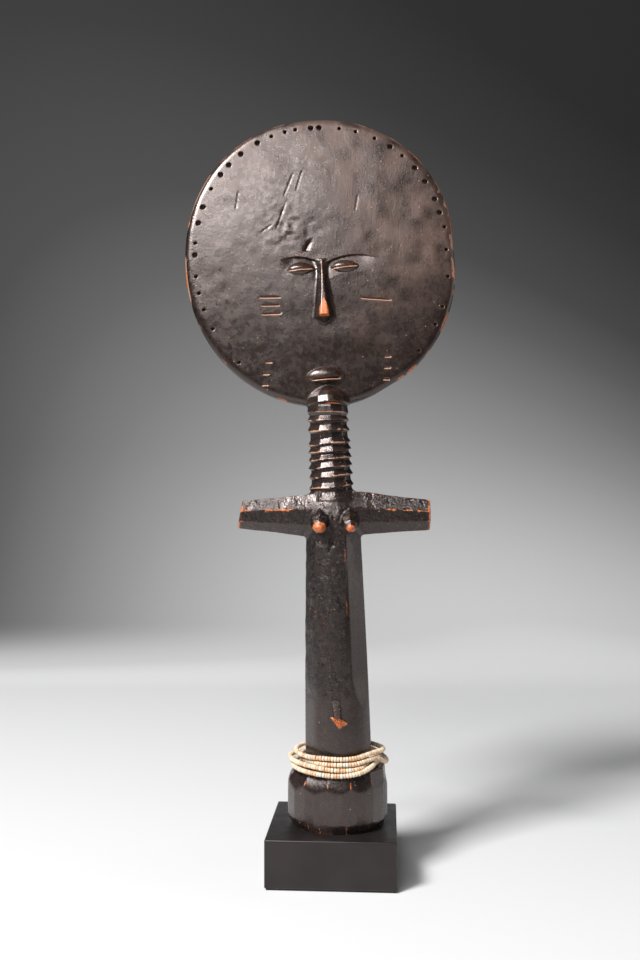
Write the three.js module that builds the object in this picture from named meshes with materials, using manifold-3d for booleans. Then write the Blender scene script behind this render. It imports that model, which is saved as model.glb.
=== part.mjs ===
// Standing carved wooden doll with a flat disc head, on a black wooden block, with four turns
// of glass seed beads round its foot. Millimetres, +Z up; the doll looks along -Y and the
// origin is the middle of the block's underside. The doll and its beads are drawn standing on
// height 0 and then lifted onto the block.

import * as THREE from 'three';
import { ConvexGeometry } from 'three/addons/geometries/ConvexGeometry.js';
import { mergeVertices } from 'three/addons/utils/BufferGeometryUtils.js';
import Module from 'manifold-3d';

const wasm = await Module();
wasm.setup();

// Block under the doll
const BLOCK_WIDTH = 62.6;
const BLOCK_DEPTH = 64.6;
const BLOCK_HEIGHT = 23.9;
const BLOCK_TURN = -3.7;
const BLOCK_BEVEL = 0.7;
const BLOCK_REBATE_HEIGHT = 1.1;
const BLOCK_REBATE_INSET = 1.2;

// Foot drum of the doll
const DRUM_X = 1.8;
const DRUM_RADIUS = 24.7;
const DRUM_UNDER_RADIUS = 22.9;
const DRUM_UNDER_CUT = 3.6;
const DRUM_SHOULDER = 22.4;
const DRUM_TOP = 28.8;
const DRUM_TOP_RADIUS = 22.1;
const DRUM_TOP_SHIFT = 1.5;
const DRUM_RIDGES = [-78, -58, -40, -28, -11, 4, 20, 31, 43, 62, 84, 106, 130, 152, 176, 200, 222, 246, 265];

// Column body, with a broad flat cut down its right front
const BODY_FOOT_Z = 37.3;
const BODY_TOP_Z = 140.3;
const BODY_FOOT_HALF = 16.85;
const BODY_TOP_HALF = 14.25;
const BODY_DEPTH_SHARE = 0.94;
const BODY_FOOT_X = 2.2;
const BODY_TOP_X = -0.2;
const BODY_SIDES = 26;
const FLAT_TURN = 49.2;
const FLAT_CUT = 1.7;
const FLAT_LOW_Z = 51;
const FLAT_FULL_Z = 75;

// Chest and arms
const ARMS = [
  { endX: -46.6, endZ: 153.0, endRadius: 6.9, rootZ: 152.7, rootRadius: 10.9, slant: 0.16 },
  { endX: 47.8, endZ: 152.7, endRadius: 7.6, rootZ: 153.8, rootRadius: 11.3, slant: 0 },
];
const ARM_SIDES = 8;
const ARM_DEPTH_SHARE = 0.93;
const CHEST_Z = 149.3;
const SHOULDER_TOP_Z = 168.3;
const CHEST_DROP = 2.6;

// Breasts and navel
const BREASTS = [
  { root: [-6.8, -8.0, 152.2], tip: [-7.4, -19.0, 145.6], radius: 4.8, tipRadius: 1.9 },
  { root: [7.5, -8.0, 152.0], tip: [8.0, -18.8, 145.7], radius: 4.8, tipRadius: 1.4 },
];
const BREAST_PROFILE = [[0, 1], [0.55, 0.96], [0.8, 0.72]];
const NAVEL = { root: [2.2, -13.6, 61], tip: [2.7, -17.8, 51.4], radius: 2.1, tipRadius: 3.1 };
const NAVEL_PROFILE = [[0, 1], [0.7, 1.45]];

// Ringed neck
const NECK_FOOT = [-0.8, 0, 160.6];
const NECK_HEAD = [-3.2, 0, 209.3];
const NECK_FOOT_RADIUS = 11.2;
const NECK_HEAD_RADIUS = 10.1;
const NECK_RIDGES = [167.1, 172.6, 177.1, 180.9, 185.1, 188.7, 194.8, 199.7];
const NECK_COLLAR_Z = 203.9;
const NECK_GROOVE = 1.1;
const NECK_RIDGE_TILT = 1.5;
const NECK_LEVEL_Z = 194;
const NECK_SIDES = 20;

// Disc head, in its own frame: x across, y up the disc, z out of the face
const HEAD_CENTRE = [-6.4, 9.0, 281.3];
const HEAD_TILT = 6;
const HEAD_LEAN = 2.8;
const DISC_HALF_WIDTH = 69.0;
const DISC_HALF_HEIGHT = 75.0;
const DISC_FULLNESS = 1.7;
const DISC_WORN_SIDES = [{ turn: 87, depth: 1.3, spread: 12 }, { turn: 155, depth: 1.1, spread: 9 }];
const DISC_HALF_THICK = 5.5;
const DISC_RIM_HALF = 3.4;
const DISC_STEPS = 66;

// Holes bored round the rim; angles clockwise from the top
const HOLE_INSET = 5.4;
const HOLE_INSET_LOW_RIGHT = 4.2;
const WIDE_HOLE = 1.25;
const NARROW_HOLE = 0.8;
const WIDE_ANGLES = [-85, -70, -62.5, -46, -40.5, -33.5, -25, -1.5, 2, 33.5, 47.5, 55, 64, 70.5];
const NARROW_ANGLES = [
  -120.5, -111, -103, -95, -79.5, -53.5, -18.5, -12.5, -8, 10.5, 17.5, 26, 40, 77.5, 88, 100.5,
  114.5, 123, 136.5,
];
const BLIND_ANGLE = -139.5;
const BLIND_DEPTH = 1.5;

// Features of the face, in the head's frame
const NOSE_X = 0.25;
const NOSE_TOP_Y = -2;
const NOSE_TIP_Y = -30.2;
const NOSE_END_Y = -32.6;
const NOSE_HEIGHT = 6.6;
const NOSE_HALF_WIDTH = 5.0;
const NOSE_FLAT = 2.0;
// Shares down the nose, and of its height, width and flat there
const NOSE_PROFILE = [[0, 0.16, 0.3, 0.1], [0.15, 0.36, 0.42, 0.14], [0.55, 0.68, 0.74, 0.4], [1, 1, 1, 1]];
const EYES = [
  { x: -10.6, y: -4.7, slit: [[-17, -5.4], [-3.8, -4.9]], brow: [[-21, 0], [-13, 1.6], [-2, -1.2]] },
  { x: 11.9, y: -4.4, slit: [[5.2, -5.3], [18.4, -4.3]], brow: [[3.6, -1.6], [14, 1.3], [29, -0.9]] },
];
const EYE_HALF = [7.4, 3.4, 1.5];
const SOCKET_DROP = 9;
const SOCKET_DEPTH = 1.1;
const MOUTH = { x: -0.6, y: -60.4, half: [9.4, 5.0, 3.2], slit: [[-8, -61.7], [7.2, -61.3]] };
const CHIN_LEVELS = [[-75.5, 8.8], [-74.3, 11.3], [-71, 10.6], [-68.3, 8.7], [-66.4, 5.6], [-64.4, 2]];
const CHIN_FORWARD = 1.2;
const CHIN_SIDES = 10;
const CHEEK_SCARS = [
  [[-32.4, -18.2], [-20.8, -18.7]],
  [[-31.4, -22.4], [-21.4, -22.8]],
  [[-31.2, -26.9], [-21.0, -27.1]],
  [[18.6, -21.0], [34.6, -22.8]],
];
const JAW_NOTCHES = [
  [-28.4, -51.4], [-30.2, -57.2], [-30.9, -62.7], [31.0, -51.4], [30.4, -57.0], [29.6, -62.8],
];
const NOTCH_LENGTH = 3.2;
const SCAR_WIDTH = 1.0;
const SCAR_DEPTH = 0.9;

// Bead strands round the top of the drum: [angle from the front towards +X, radius, height]
const STRAND_RADIUS = 1.2;
const STRAND_STEPS = 56;
const STRAND_SIDES = 5;
const STRAND_X = 1.9;
const STRANDS = [
  [[0, 19.5, 35.3], [24, 19.5, 35.4], [45, 20.1, 36.4], [62, 20.8, 36.7], [82, 22.4, 36.2],
    [104, 23.1, 35.4], [130, 23.3, 35.2], [154, 21.3, 36.7], [180, 19.7, 36.7], [210, 20.0, 36.2],
    [240, 21.0, 35.7], [270, 20.6, 35.9], [318, 21.4, 35.8], [340, 20.2, 35.7]],
  [[0, 20.9, 32.9], [24, 20.5, 32.8], [45, 20.5, 33.8], [62, 21.6, 33.8], [80, 23.6, 30.7],
    [104, 24.9, 30.1], [130, 24.3, 32.0], [152, 23.0, 33.9], [180, 21.2, 34.0], [210, 19.8, 33.3],
    [240, 18.7, 33.2], [270, 18.4, 33.6], [318, 20.0, 33.2], [340, 20.6, 32.9]],
  [[0, 22.4, 30.6], [24, 21.8, 30.5], [45, 19.1, 31.2], [62, 18.4, 33.5], [82, 18.6, 33.9],
    [106, 18.8, 33.5], [130, 20.0, 32.3], [152, 21.1, 31.4], [180, 22.5, 31.4], [210, 23.4, 31.5],
    [240, 24.5, 31.3], [270, 23.8, 32.3], [318, 22.8, 32.0]],
  [[0, 24.0, 28.4], [24, 24.4, 29.3], [45, 22.8, 31.0], [62, 20.2, 30.9], [82, 20.0, 30.7],
    [104, 20.4, 30.6], [126, 21.9, 30.3], [150, 24.4, 29.4], [180, 23.9, 29.0], [210, 23.2, 28.9],
    [240, 22.6, 29.0], [270, 22.3, 29.5], [318, 23.8, 29.2]],
];

const vector = (values) => new THREE.Vector3(...values);
const degrees = THREE.MathUtils.degToRad;
const mix = THREE.MathUtils.lerp;
const step = THREE.MathUtils.smoothstep;

// Repeatable unevenness of hand work, between -1 and 1
function wobble(index, seed) {
  const value = Math.sin(index * 12.9898 + seed * 78.233) * 43758.5453;
  return 2 * (value - Math.floor(value)) - 1;
}

// Closed skin over rings of equal count; a hub closes each end unless the loft runs in a loop
function loft(rings, { startHub = null, endHub = null, loop = false } = {}) {
  const sides = rings[0].length;
  const points = rings.flat();
  const triangles = [];
  const spans = loop ? rings.length : rings.length - 1;
  for (let level = 0; level < spans; level += 1) {
    const above = (level + 1) % rings.length;
    for (let side = 0; side < sides; side += 1) {
      const next = (side + 1) % sides;
      const a = level * sides + side;
      const b = level * sides + next;
      const c = above * sides + side;
      const d = above * sides + next;
      triangles.push(a, b, d, a, d, c);
    }
  }
  if (!loop) {
    const last = (rings.length - 1) * sides;
    const startIndex = points.push(startHub ?? middle(rings[0])) - 1;
    const endIndex = points.push(endHub ?? middle(rings[rings.length - 1])) - 1;
    for (let side = 0; side < sides; side += 1) {
      const next = (side + 1) % sides;
      triangles.push(startIndex, next, side);
      triangles.push(endIndex, last + side, last + next);
    }
  }
  return geometryOf(points, triangles);
}

function middle(ring) {
  const sum = new THREE.Vector3();
  ring.forEach((point) => sum.add(point));
  return sum.divideScalar(ring.length);
}

function geometryOf(points, triangles) {
  const geometry = new THREE.BufferGeometry();
  const coordinates = points.flatMap((point) => [point.x, point.y, point.z]);
  geometry.setAttribute('position', new THREE.Float32BufferAttribute(coordinates, 3));
  geometry.setIndex(triangles);
  return geometry;
}

function ringPoint(centre, across, along, angle, radiusA, radiusB) {
  return centre.clone()
    .addScaledVector(across, radiusA * Math.cos(angle))
    .addScaledVector(along, radiusB * Math.sin(angle));
}

// Ring of evenly spaced points round a centre, in the plane of two directions
function ring(centre, across, along, radiusA, radiusB, sides, phase = 0) {
  const points = [];
  for (let side = 0; side < sides; side += 1) {
    const angle = (side + phase) / sides * 2 * Math.PI;
    points.push(ringPoint(centre, across, along, angle, radiusA, radiusB));
  }
  return points;
}

function signedVolume(positions, triangles) {
  const a = new THREE.Vector3();
  const b = new THREE.Vector3();
  const c = new THREE.Vector3();
  let total = 0;
  for (let i = 0; i < triangles.length; i += 3) {
    a.fromArray(positions, triangles[i] * 3);
    b.fromArray(positions, triangles[i + 1] * 3);
    c.fromArray(positions, triangles[i + 2] * 3);
    total += a.dot(b.cross(c));
  }
  return total;
}

// Closed geometry as a solid that can be joined and cut, its faces looking outward
function solidOf(geometry) {
  const bare = geometry.clone();
  bare.deleteAttribute('normal');
  bare.deleteAttribute('uv');
  const merged = mergeVertices(bare, 1e-5);
  const positions = merged.getAttribute('position').array;
  const triangles = Uint32Array.from(merged.getIndex().array);
  if (signedVolume(positions, triangles) < 0) {
    triangles.reverse();
  }
  const vertProperties = Float32Array.from(positions);
  return new wasm.Manifold(new wasm.Mesh({ numProp: 3, vertProperties, triVerts: triangles }));
}

const hullOf = (points) => solidOf(new ConvexGeometry(points));

function addAll(first, others) {
  return others.reduce((whole, other) => whole.add(other), first);
}

function cutAll(first, others) {
  return others.reduce((whole, other) => whole.subtract(other), first);
}

function meshFrom(solid, name, material, lift = 0) {
  const result = solid.translate(0, 0, lift).getMesh();
  const geometry = new THREE.BufferGeometry();
  geometry.setAttribute('position', new THREE.Float32BufferAttribute(result.vertProperties, 3));
  geometry.setIndex(new THREE.Uint32BufferAttribute(result.triVerts, 1));
  geometry.computeVertexNormals();
  const mesh = new THREE.Mesh(geometry, material);
  mesh.name = name;
  return mesh;
}

// Block with small bevels on its edges and a shallow rebate at the foot
function blockSolid() {
  const outline = (inset) => {
    const halfX = BLOCK_WIDTH / 2 - inset;
    const halfY = BLOCK_DEPTH / 2 - inset;
    const cut = BLOCK_BEVEL;
    return [
      [halfX, -halfY + cut], [halfX, halfY - cut], [halfX - cut, halfY], [-halfX + cut, halfY],
      [-halfX, halfY - cut], [-halfX, -halfY + cut], [-halfX + cut, -halfY], [halfX - cut, -halfY],
    ];
  };
  const level = (z, inset) => outline(inset).map(([x, y]) => new THREE.Vector3(x, y, z));
  const rebateTop = BLOCK_REBATE_HEIGHT;
  const block = loft([
    level(0, BLOCK_REBATE_INSET),
    level(rebateTop, BLOCK_REBATE_INSET),
    level(rebateTop, BLOCK_BEVEL / 2),
    level(rebateTop + BLOCK_BEVEL / 2, 0),
    level(BLOCK_HEIGHT - BLOCK_BEVEL, 0),
    level(BLOCK_HEIGHT, BLOCK_BEVEL),
  ]);
  block.rotateZ(degrees(BLOCK_TURN));
  return solidOf(block);
}

// Point on the drum at an angle from the front
function drumPoint(turn, radius, height) {
  const angle = degrees(turn);
  return new THREE.Vector3(
    DRUM_X + radius * Math.sin(angle), -radius * Math.cos(angle), height);
}

// Foot drum with knife facets, its underside cut back and its shoulder cut down to a flat top
function drumSolid() {
  const turns = [];
  DRUM_RIDGES.forEach((turn, index) => {
    const after = DRUM_RIDGES[index + 1] ?? DRUM_RIDGES[0] + 360;
    turns.push({ turn, ridge: true, half: 0 });
    turns.push({ turn: (turn + after) / 2, ridge: false, half: degrees(after - turn) / 2 });
  });
  const level = (radius, height, seed, unevenness) => turns.map(({ turn, ridge, half }, index) => {
    const reach = typeof radius === 'function' ? radius(turn) : radius;
    const chord = ridge ? reach : reach * mix(1, Math.cos(half), 0.8);
    return drumPoint(turn, chord, height + unevenness * wobble(index, seed));
  });
  const topRadius = (turn) => DRUM_TOP_RADIUS + DRUM_TOP_SHIFT * Math.sin(degrees(turn));
  return solidOf(loft([
    level(DRUM_UNDER_RADIUS, 0, 1, 0),
    level(DRUM_RADIUS - 0.1, DRUM_UNDER_CUT, 2, 0.4),
    level(DRUM_RADIUS + 0.25, DRUM_SHOULDER / 2, 3, 0),
    level(DRUM_RADIUS, DRUM_SHOULDER, 4, 0.4),
    level(topRadius, DRUM_TOP, 5, 0.08),
    level(BODY_FOOT_HALF - 1.5, DRUM_TOP + 0.4, 6, 0),
  ]));
}

const bodyX = (z) => mix(BODY_FOOT_X, BODY_TOP_X, (z - BODY_FOOT_Z) / (BODY_TOP_Z - BODY_FOOT_Z));

function bodyHalf(z) {
  const share = THREE.MathUtils.clamp((z - BODY_FOOT_Z) / (BODY_TOP_Z - BODY_FOOT_Z), 0, 1);
  return mix(BODY_FOOT_HALF, BODY_TOP_HALF, share ** 1.3);
}

// Outline of the column at one height, with the broad flat on its right front
function bodyRing(z, shrink = 1) {
  const half = bodyHalf(z) * shrink;
  const flatShare = step(z, FLAT_LOW_Z, FLAT_FULL_Z) * shrink;
  const points = [];
  for (let side = 0; side < BODY_SIDES; side += 1) {
    const angle = degrees(FLAT_TURN) + side / BODY_SIDES * 2 * Math.PI;
    const round = half / Math.hypot(Math.sin(angle), Math.cos(angle) / BODY_DEPTH_SHARE);
    const facing = Math.cos(angle - degrees(FLAT_TURN));
    const plane = (half - FLAT_CUT * flatShare) / Math.max(facing, 0.2);
    const reach = Math.min(round, plane);
    const forward = Math.max(0, Math.cos(angle));
    const drop = CHEST_DROP * step(z, CHEST_Z, CHEST_Z + 8) * forward;
    points.push(new THREE.Vector3(bodyX(z) + reach * Math.sin(angle), -reach * Math.cos(angle), z - drop));
  }
  return points;
}

// Column body closing into a low dome under the neck
function bodySolid() {
  const rings = [24, 37, 51, 63, 75, 97, 119, 140, CHEST_Z].map((z) => bodyRing(z));
  const dome = [[0.37, 0.96], [0.63, 0.88], [0.84, 0.74], [1, 0.52]];
  dome.forEach(([share, shrink]) => rings.push(bodyRing(mix(CHEST_Z, SHOULDER_TOP_Z, share), shrink)));
  return solidOf(loft(rings));
}

// Tapering faceted arm, cut off at its end
function armSolid({ endX, endZ, endRadius, rootZ, rootRadius, slant }, seed) {
  const levels = [[0, 0], [0.28, 0.1], [0.62, 0.58], [0.985, 1]];
  const profile = levels.map(([share, taper]) => [share, mix(rootRadius, endRadius, taper)]);
  profile.push([1, endRadius - 0.5]);
  const rings = profile.map(([share, size], level) => {
    const points = [];
    for (let side = 0; side < ARM_SIDES; side += 1) {
      const angle = (side + 0.5) / ARM_SIDES * 2 * Math.PI;
      const reach = size * (1.03 + 0.025 * wobble(side, seed) + 0.012 * wobble(side * 7 + level, seed));
      const height = reach * Math.sin(angle);
      const x = endX * share + slant * height * share;
      const y = ARM_DEPTH_SHARE * reach * Math.cos(angle);
      points.push(new THREE.Vector3(x, y, mix(rootZ, endZ, share) + height));
    }
    return points;
  });
  return solidOf(loft(rings));
}

// Knife-cut nub between two points: shares of its length and root radius, then its worn tip
function nubSolid({ root, tip, radius, tipRadius }, profile, sides) {
  const start = vector(root);
  const end = vector(tip);
  const axis = end.clone().sub(start).normalize();
  const across = new THREE.Vector3(1, 0, 0).addScaledVector(axis, -axis.x).normalize();
  const along = axis.clone().cross(across);
  const levels = profile.map(([share, size]) => [share, radius * size]);
  levels.push([0.93, tipRadius * 1.15], [1, tipRadius * 0.7]);
  const rings = levels.map(([share, reach]) => {
    const centre = start.clone().lerp(end, share);
    return ring(centre, across, along, reach, reach, sides, 0.5);
  });
  return solidOf(loft(rings));
}

// Ring of the neck, lower on the left and the front
function neckRing(z, inset, uneven) {
  const foot = vector(NECK_FOOT);
  const head = vector(NECK_HEAD);
  const share = (z - foot.z) / (head.z - foot.z);
  const centre = foot.lerp(head, share);
  const radius = mix(NECK_FOOT_RADIUS, NECK_HEAD_RADIUS, share) - inset;
  const tilt = NECK_RIDGE_TILT * (1 - step(z, NECK_LEVEL_Z - 6, NECK_LEVEL_Z + 6));
  const points = [];
  for (let side = 0; side < NECK_SIDES; side += 1) {
    const angle = side / NECK_SIDES * 2 * Math.PI;
    const lift = tilt * (Math.cos(angle) * 0.8 + Math.sin(angle) * 0.5) + uneven * wobble(side, z);
    points.push(new THREE.Vector3(
      centre.x + radius * Math.cos(angle), centre.y + radius * Math.sin(angle), z + lift));
  }
  return points;
}

// Neck of sharp rings: a long slope above each ridge and a short cut under it
function neckSolid() {
  const rings = [neckRing(NECK_FOOT[2], 0.4, 0), neckRing(NECK_RIDGES[0] - 2.4, NECK_GROOVE, 0)];
  NECK_RIDGES.forEach((z, index) => {
    const above = NECK_RIDGES[index + 1] ?? NECK_COLLAR_Z;
    rings.push(neckRing(z - 0.9, NECK_GROOVE, 0.1));
    rings.push(neckRing(z, 0, 0.3));
    rings.push(neckRing(Math.min(z + 2.2, above - 1.1), NECK_GROOVE * 0.9, 0.1));
  });
  rings.push(neckRing(NECK_COLLAR_Z, 0.1, 0.2));
  rings.push(neckRing(NECK_COLLAR_Z + 2.8, 0.4, 0));
  rings.push(neckRing(NECK_HEAD[2], 1.2, 0));
  return solidOf(loft(rings));
}

// Outline radius of the disc at an angle clockwise from its top
function discReach(turn) {
  const angle = degrees(turn);
  const oval = 1 / Math.hypot(Math.sin(angle) / DISC_HALF_WIDTH, Math.cos(angle) / DISC_HALF_HEIGHT);
  const fuller = Math.cos(angle) > 0 ? DISC_FULLNESS * Math.abs(Math.sin(2 * angle)) ** 1.3 : 0;
  const worn = ({ turn: place, depth, spread }) => depth * Math.exp(-(((turn - place) / spread) ** 2));
  return oval + fuller - DISC_WORN_SIDES.reduce((sum, side) => sum + worn(side), 0);
}

function discPoint(turn, share, z) {
  const angle = degrees(turn);
  const reach = discReach(turn) * share;
  return new THREE.Vector3(reach * Math.sin(angle), reach * Math.cos(angle), z);
}

// Height of the gently domed face above the disc's middle plane
function faceHeight(x, y) {
  const share = Math.min(1, Math.hypot(x / DISC_HALF_WIDTH, y / DISC_HALF_HEIGHT));
  return mix(DISC_HALF_THICK, DISC_RIM_HALF, share ** 2.2);
}

// Disc of the head, domed on both faces, its rim rounded
function discSolid() {
  const levels = [0.4, 0.72, 0.93, 0.98];
  const heightAt = (share) => mix(DISC_HALF_THICK, DISC_RIM_HALF, share ** 2.2);
  const profile = levels.map((share) => [share, heightAt(share)]);
  profile.push([1, 1.5], [1, -1.5]);
  levels.slice().reverse().forEach((share) => profile.push([share, -heightAt(share)]));
  const rings = profile.map(([share, z]) => {
    const points = [];
    for (let index = 0; index < DISC_STEPS; index += 1) {
      const turn = index / DISC_STEPS * 360 - 180;
      points.push(discPoint(turn, share, z));
    }
    return points;
  });
  const front = new THREE.Vector3(0, 0, DISC_HALF_THICK);
  const back = new THREE.Vector3(0, 0, -DISC_HALF_THICK);
  return solidOf(loft(rings, { startHub: front, endHub: back }));
}

// Bore through the rim, or a blind one from the front
function rimHole(turn, radius, depth = null) {
  const inset = turn > 74 ? HOLE_INSET_LOW_RIGHT : HOLE_INSET;
  const angle = degrees(turn);
  const reach = discReach(turn) - inset;
  const x = reach * Math.sin(angle);
  const y = reach * Math.cos(angle);
  const top = DISC_HALF_THICK + 1;
  const bottom = depth === null ? -top : faceHeight(x, y) - depth;
  const bore = new THREE.CylinderGeometry(radius, radius, top - bottom, 6);
  bore.rotateX(Math.PI / 2);
  bore.translate(x, y, (top + bottom) / 2);
  return solidOf(bore);
}

// Knife cut along the surface, deepest along its middle and running out at both ends
function grooveSolid([start, end], width, depth, lift) {
  const from = new THREE.Vector2(...start);
  const to = new THREE.Vector2(...end);
  const along = to.clone().sub(from);
  const across = new THREE.Vector2(-along.y, along.x).normalize().multiplyScalar(width / 2);
  const surface = faceHeight((from.x + to.x) / 2, (from.y + to.y) / 2) + lift;
  const above = surface + 0.6;
  const points = [];
  [0, 1].forEach((share) => {
    const place = from.clone().addScaledVector(along, share);
    points.push(new THREE.Vector3(place.x, place.y, surface), new THREE.Vector3(place.x, place.y, above));
  });
  [0.12, 0.88].forEach((share) => {
    const place = from.clone().addScaledVector(along, share);
    points.push(new THREE.Vector3(place.x + across.x, place.y + across.y, above));
    points.push(new THREE.Vector3(place.x - across.x, place.y - across.y, above));
    points.push(new THREE.Vector3(place.x + across.x * 0.9, place.y + across.y * 0.9, surface));
    points.push(new THREE.Vector3(place.x - across.x * 0.9, place.y - across.y * 0.9, surface));
    points.push(new THREE.Vector3(place.x, place.y, surface - depth));
  });
  return hullOf(points);
}

// Smooth low mound on the face
function moundSolid(x, y, half, sides, rows) {
  const mound = new THREE.SphereGeometry(1, sides, rows);
  mound.rotateX(Math.PI / 2);
  mound.scale(half[0], half[1], half[2]);
  mound.translate(x, y, faceHeight(x, y));
  return solidOf(mound);
}

// Hollow under a brow: sharp and deep along the brow, running out on the cheek below
function socketSolid([outer, peak, inner]) {
  const curve = new THREE.QuadraticBezierCurve(
    new THREE.Vector2(...outer),
    new THREE.Vector2(2 * peak[0] - (outer[0] + inner[0]) / 2, 2 * peak[1] - (outer[1] + inner[1]) / 2),
    new THREE.Vector2(...inner));
  const rings = [];
  const count = 8;
  for (let index = 0; index <= count; index += 1) {
    const share = index / count;
    const place = curve.getPoint(share);
    const strength = 0.08 + 0.92 * Math.sin(Math.PI * share) ** 0.6;
    const drop = SOCKET_DROP * strength;
    const surface = faceHeight(place.x, place.y);
    rings.push([
      new THREE.Vector3(place.x, place.y, surface - SOCKET_DEPTH * strength),
      new THREE.Vector3(place.x, place.y - drop, surface + 0.05),
      new THREE.Vector3(place.x, place.y - drop, surface + 1.5),
      new THREE.Vector3(place.x, place.y + 0.25, surface + 1.5),
    ]);
  }
  return solidOf(loft(rings));
}

// Wedge nose with a narrow flat ridge, cut off at its lower end
function noseSolid() {
  const base = DISC_HALF_THICK - 1.5;
  const x = NOSE_X;
  const rings = NOSE_PROFILE.map(([share, height, width, flat]) => {
    const y = mix(NOSE_TOP_Y, NOSE_TIP_Y, share);
    const top = DISC_HALF_THICK + NOSE_HEIGHT * height;
    const half = NOSE_HALF_WIDTH * width + 0.6;
    return [
      new THREE.Vector3(x - NOSE_FLAT * flat, y, top),
      new THREE.Vector3(x + NOSE_FLAT * flat, y, top),
      new THREE.Vector3(x + half, y, base),
      new THREE.Vector3(x - half, y, base),
    ];
  });
  const end = rings[rings.length - 1].map((point) => point.clone());
  end[2].y = NOSE_END_Y;
  end[3].y = NOSE_END_Y;
  rings[rings.length - 1] = end;
  return solidOf(loft(rings));
}

// Faceted top of the neck standing out under the mouth and behind the disc
function chinSolid() {
  const rings = CHIN_LEVELS.map(([y, radius], level) => {
    const points = [];
    for (let side = 0; side < CHIN_SIDES; side += 1) {
      const angle = (side + 0.5) / CHIN_SIDES * 2 * Math.PI;
      const height = y + (level === 1 ? 0.5 * wobble(side, 3) : 0);
      const z = CHIN_FORWARD + radius * Math.sin(angle);
      points.push(new THREE.Vector3(radius * Math.cos(angle), height, z));
    }
    return points;
  });
  return solidOf(loft(rings));
}

function headSolid() {
  const face = [noseSolid(), chinSolid(), moundSolid(MOUTH.x, MOUTH.y, MOUTH.half, 14, 8)];
  const sockets = EYES.map(({ brow }) => socketSolid(brow));
  const lids = EYES.map(({ x, y }) => moundSolid(x, y, EYE_HALF, 14, 6));
  const slits = EYES.map(({ slit }) => grooveSolid(slit, 0.9, 0.6, EYE_HALF[2] * 0.7));
  slits.push(grooveSolid(MOUTH.slit, 1.1, 1.2, MOUTH.half[2] * 0.8));
  const scars = CHEEK_SCARS.map((line) => grooveSolid(line, SCAR_WIDTH, SCAR_DEPTH, 0));
  JAW_NOTCHES.forEach(([x, y]) => {
    const line = [[x - NOTCH_LENGTH / 2, y], [x + NOTCH_LENGTH / 2, y - 0.1]];
    scars.push(grooveSolid(line, SCAR_WIDTH, SCAR_DEPTH * 0.8, 0));
  });
  const holes = WIDE_ANGLES.map((turn) => rimHole(turn, WIDE_HOLE));
  NARROW_ANGLES.forEach((turn) => holes.push(rimHole(turn, NARROW_HOLE)));
  holes.push(rimHole(BLIND_ANGLE, NARROW_HOLE, BLIND_DEPTH));
  let head = cutAll(discSolid(), sockets);
  head = addAll(head, [...lids, ...face]);
  return placeHead(cutAll(head, [...slits, ...scars, ...holes]));
}

// Head frame set over the neck: leaned to the left, then tilted back
function placeHead(solid) {
  const lean = degrees(HEAD_LEAN);
  const tilt = degrees(HEAD_TILT);
  const right = new THREE.Vector3(Math.cos(lean), 0, Math.sin(lean));
  const upright = new THREE.Vector3(-Math.sin(lean), 0, Math.cos(lean));
  const up = upright.multiplyScalar(Math.cos(tilt)).add(new THREE.Vector3(0, Math.sin(tilt), 0));
  const out = right.clone().cross(up);
  const matrix = new THREE.Matrix4().makeBasis(right, up, out).setPosition(...HEAD_CENTRE);
  return solid.transform(matrix.toArray());
}

function figureSolid() {
  const arms = ARMS.map((arm, index) => armSolid(arm, index + 11));
  const breasts = BREASTS.map((breast) => nubSolid(breast, BREAST_PROFILE, 9));
  const navel = nubSolid(NAVEL, NAVEL_PROFILE, 8);
  return addAll(drumSolid(), [bodySolid(), ...arms, ...breasts, navel, neckSolid(), headSolid()]);
}

// Radius and height of a strand at an angle, smoothly between its listed places
function strandAt(knots, turn) {
  const count = knots.length;
  const knot = (index) => {
    const laps = Math.floor(index / count);
    const [angle, radius, height] = knots[index - laps * count];
    return [angle + 360 * laps, radius, height];
  };
  let index = 0;
  while (knot(index + 1)[0] <= turn) {
    index += 1;
  }
  const [before, from, to, after] = [knot(index - 1), knot(index), knot(index + 1), knot(index + 2)];
  const span = to[0] - from[0];
  const t = (turn - from[0]) / span;
  return [1, 2].map((part) => {
    const slopeFrom = (to[part] - before[part]) / (to[0] - before[0]) * span;
    const slopeTo = (after[part] - from[part]) / (after[0] - from[0]) * span;
    const cube = 2 * from[part] - 2 * to[part] + slopeFrom + slopeTo;
    const square = 3 * (to[part] - from[part]) - 2 * slopeFrom - slopeTo;
    return ((cube * t + square) * t + slopeFrom) * t + from[part];
  });
}

function strandPoint(knots, turn) {
  const [radius, height] = strandAt(knots, (turn + 360) % 360);
  const angle = degrees(turn);
  return new THREE.Vector3(STRAND_X + radius * Math.sin(angle), -radius * Math.cos(angle), height);
}

// Closed cord of beads lying round the foot
function strandSolid(knots) {
  const rings = [];
  for (let index = 0; index < STRAND_STEPS; index += 1) {
    const turn = index / STRAND_STEPS * 360;
    const centre = strandPoint(knots, turn);
    const ahead = strandPoint(knots, turn + 1).sub(strandPoint(knots, turn - 1)).normalize();
    const across = new THREE.Vector3(0, 0, 1).cross(ahead).normalize();
    const up = ahead.clone().cross(across);
    rings.push(ring(centre, across, up, STRAND_RADIUS, STRAND_RADIUS, STRAND_SIDES));
  }
  return solidOf(loft(rings, { loop: true }));
}

const darkWood = new THREE.MeshStandardMaterial({ color: 0x38271f, roughness: 0.55, metalness: 0 });
const blackBlock = new THREE.MeshStandardMaterial({ color: 0x1b1818, roughness: 0.45, metalness: 0 });
const creamGlass = new THREE.MeshStandardMaterial({ color: 0xe6cdb2, roughness: 0.3, metalness: 0 });

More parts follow.
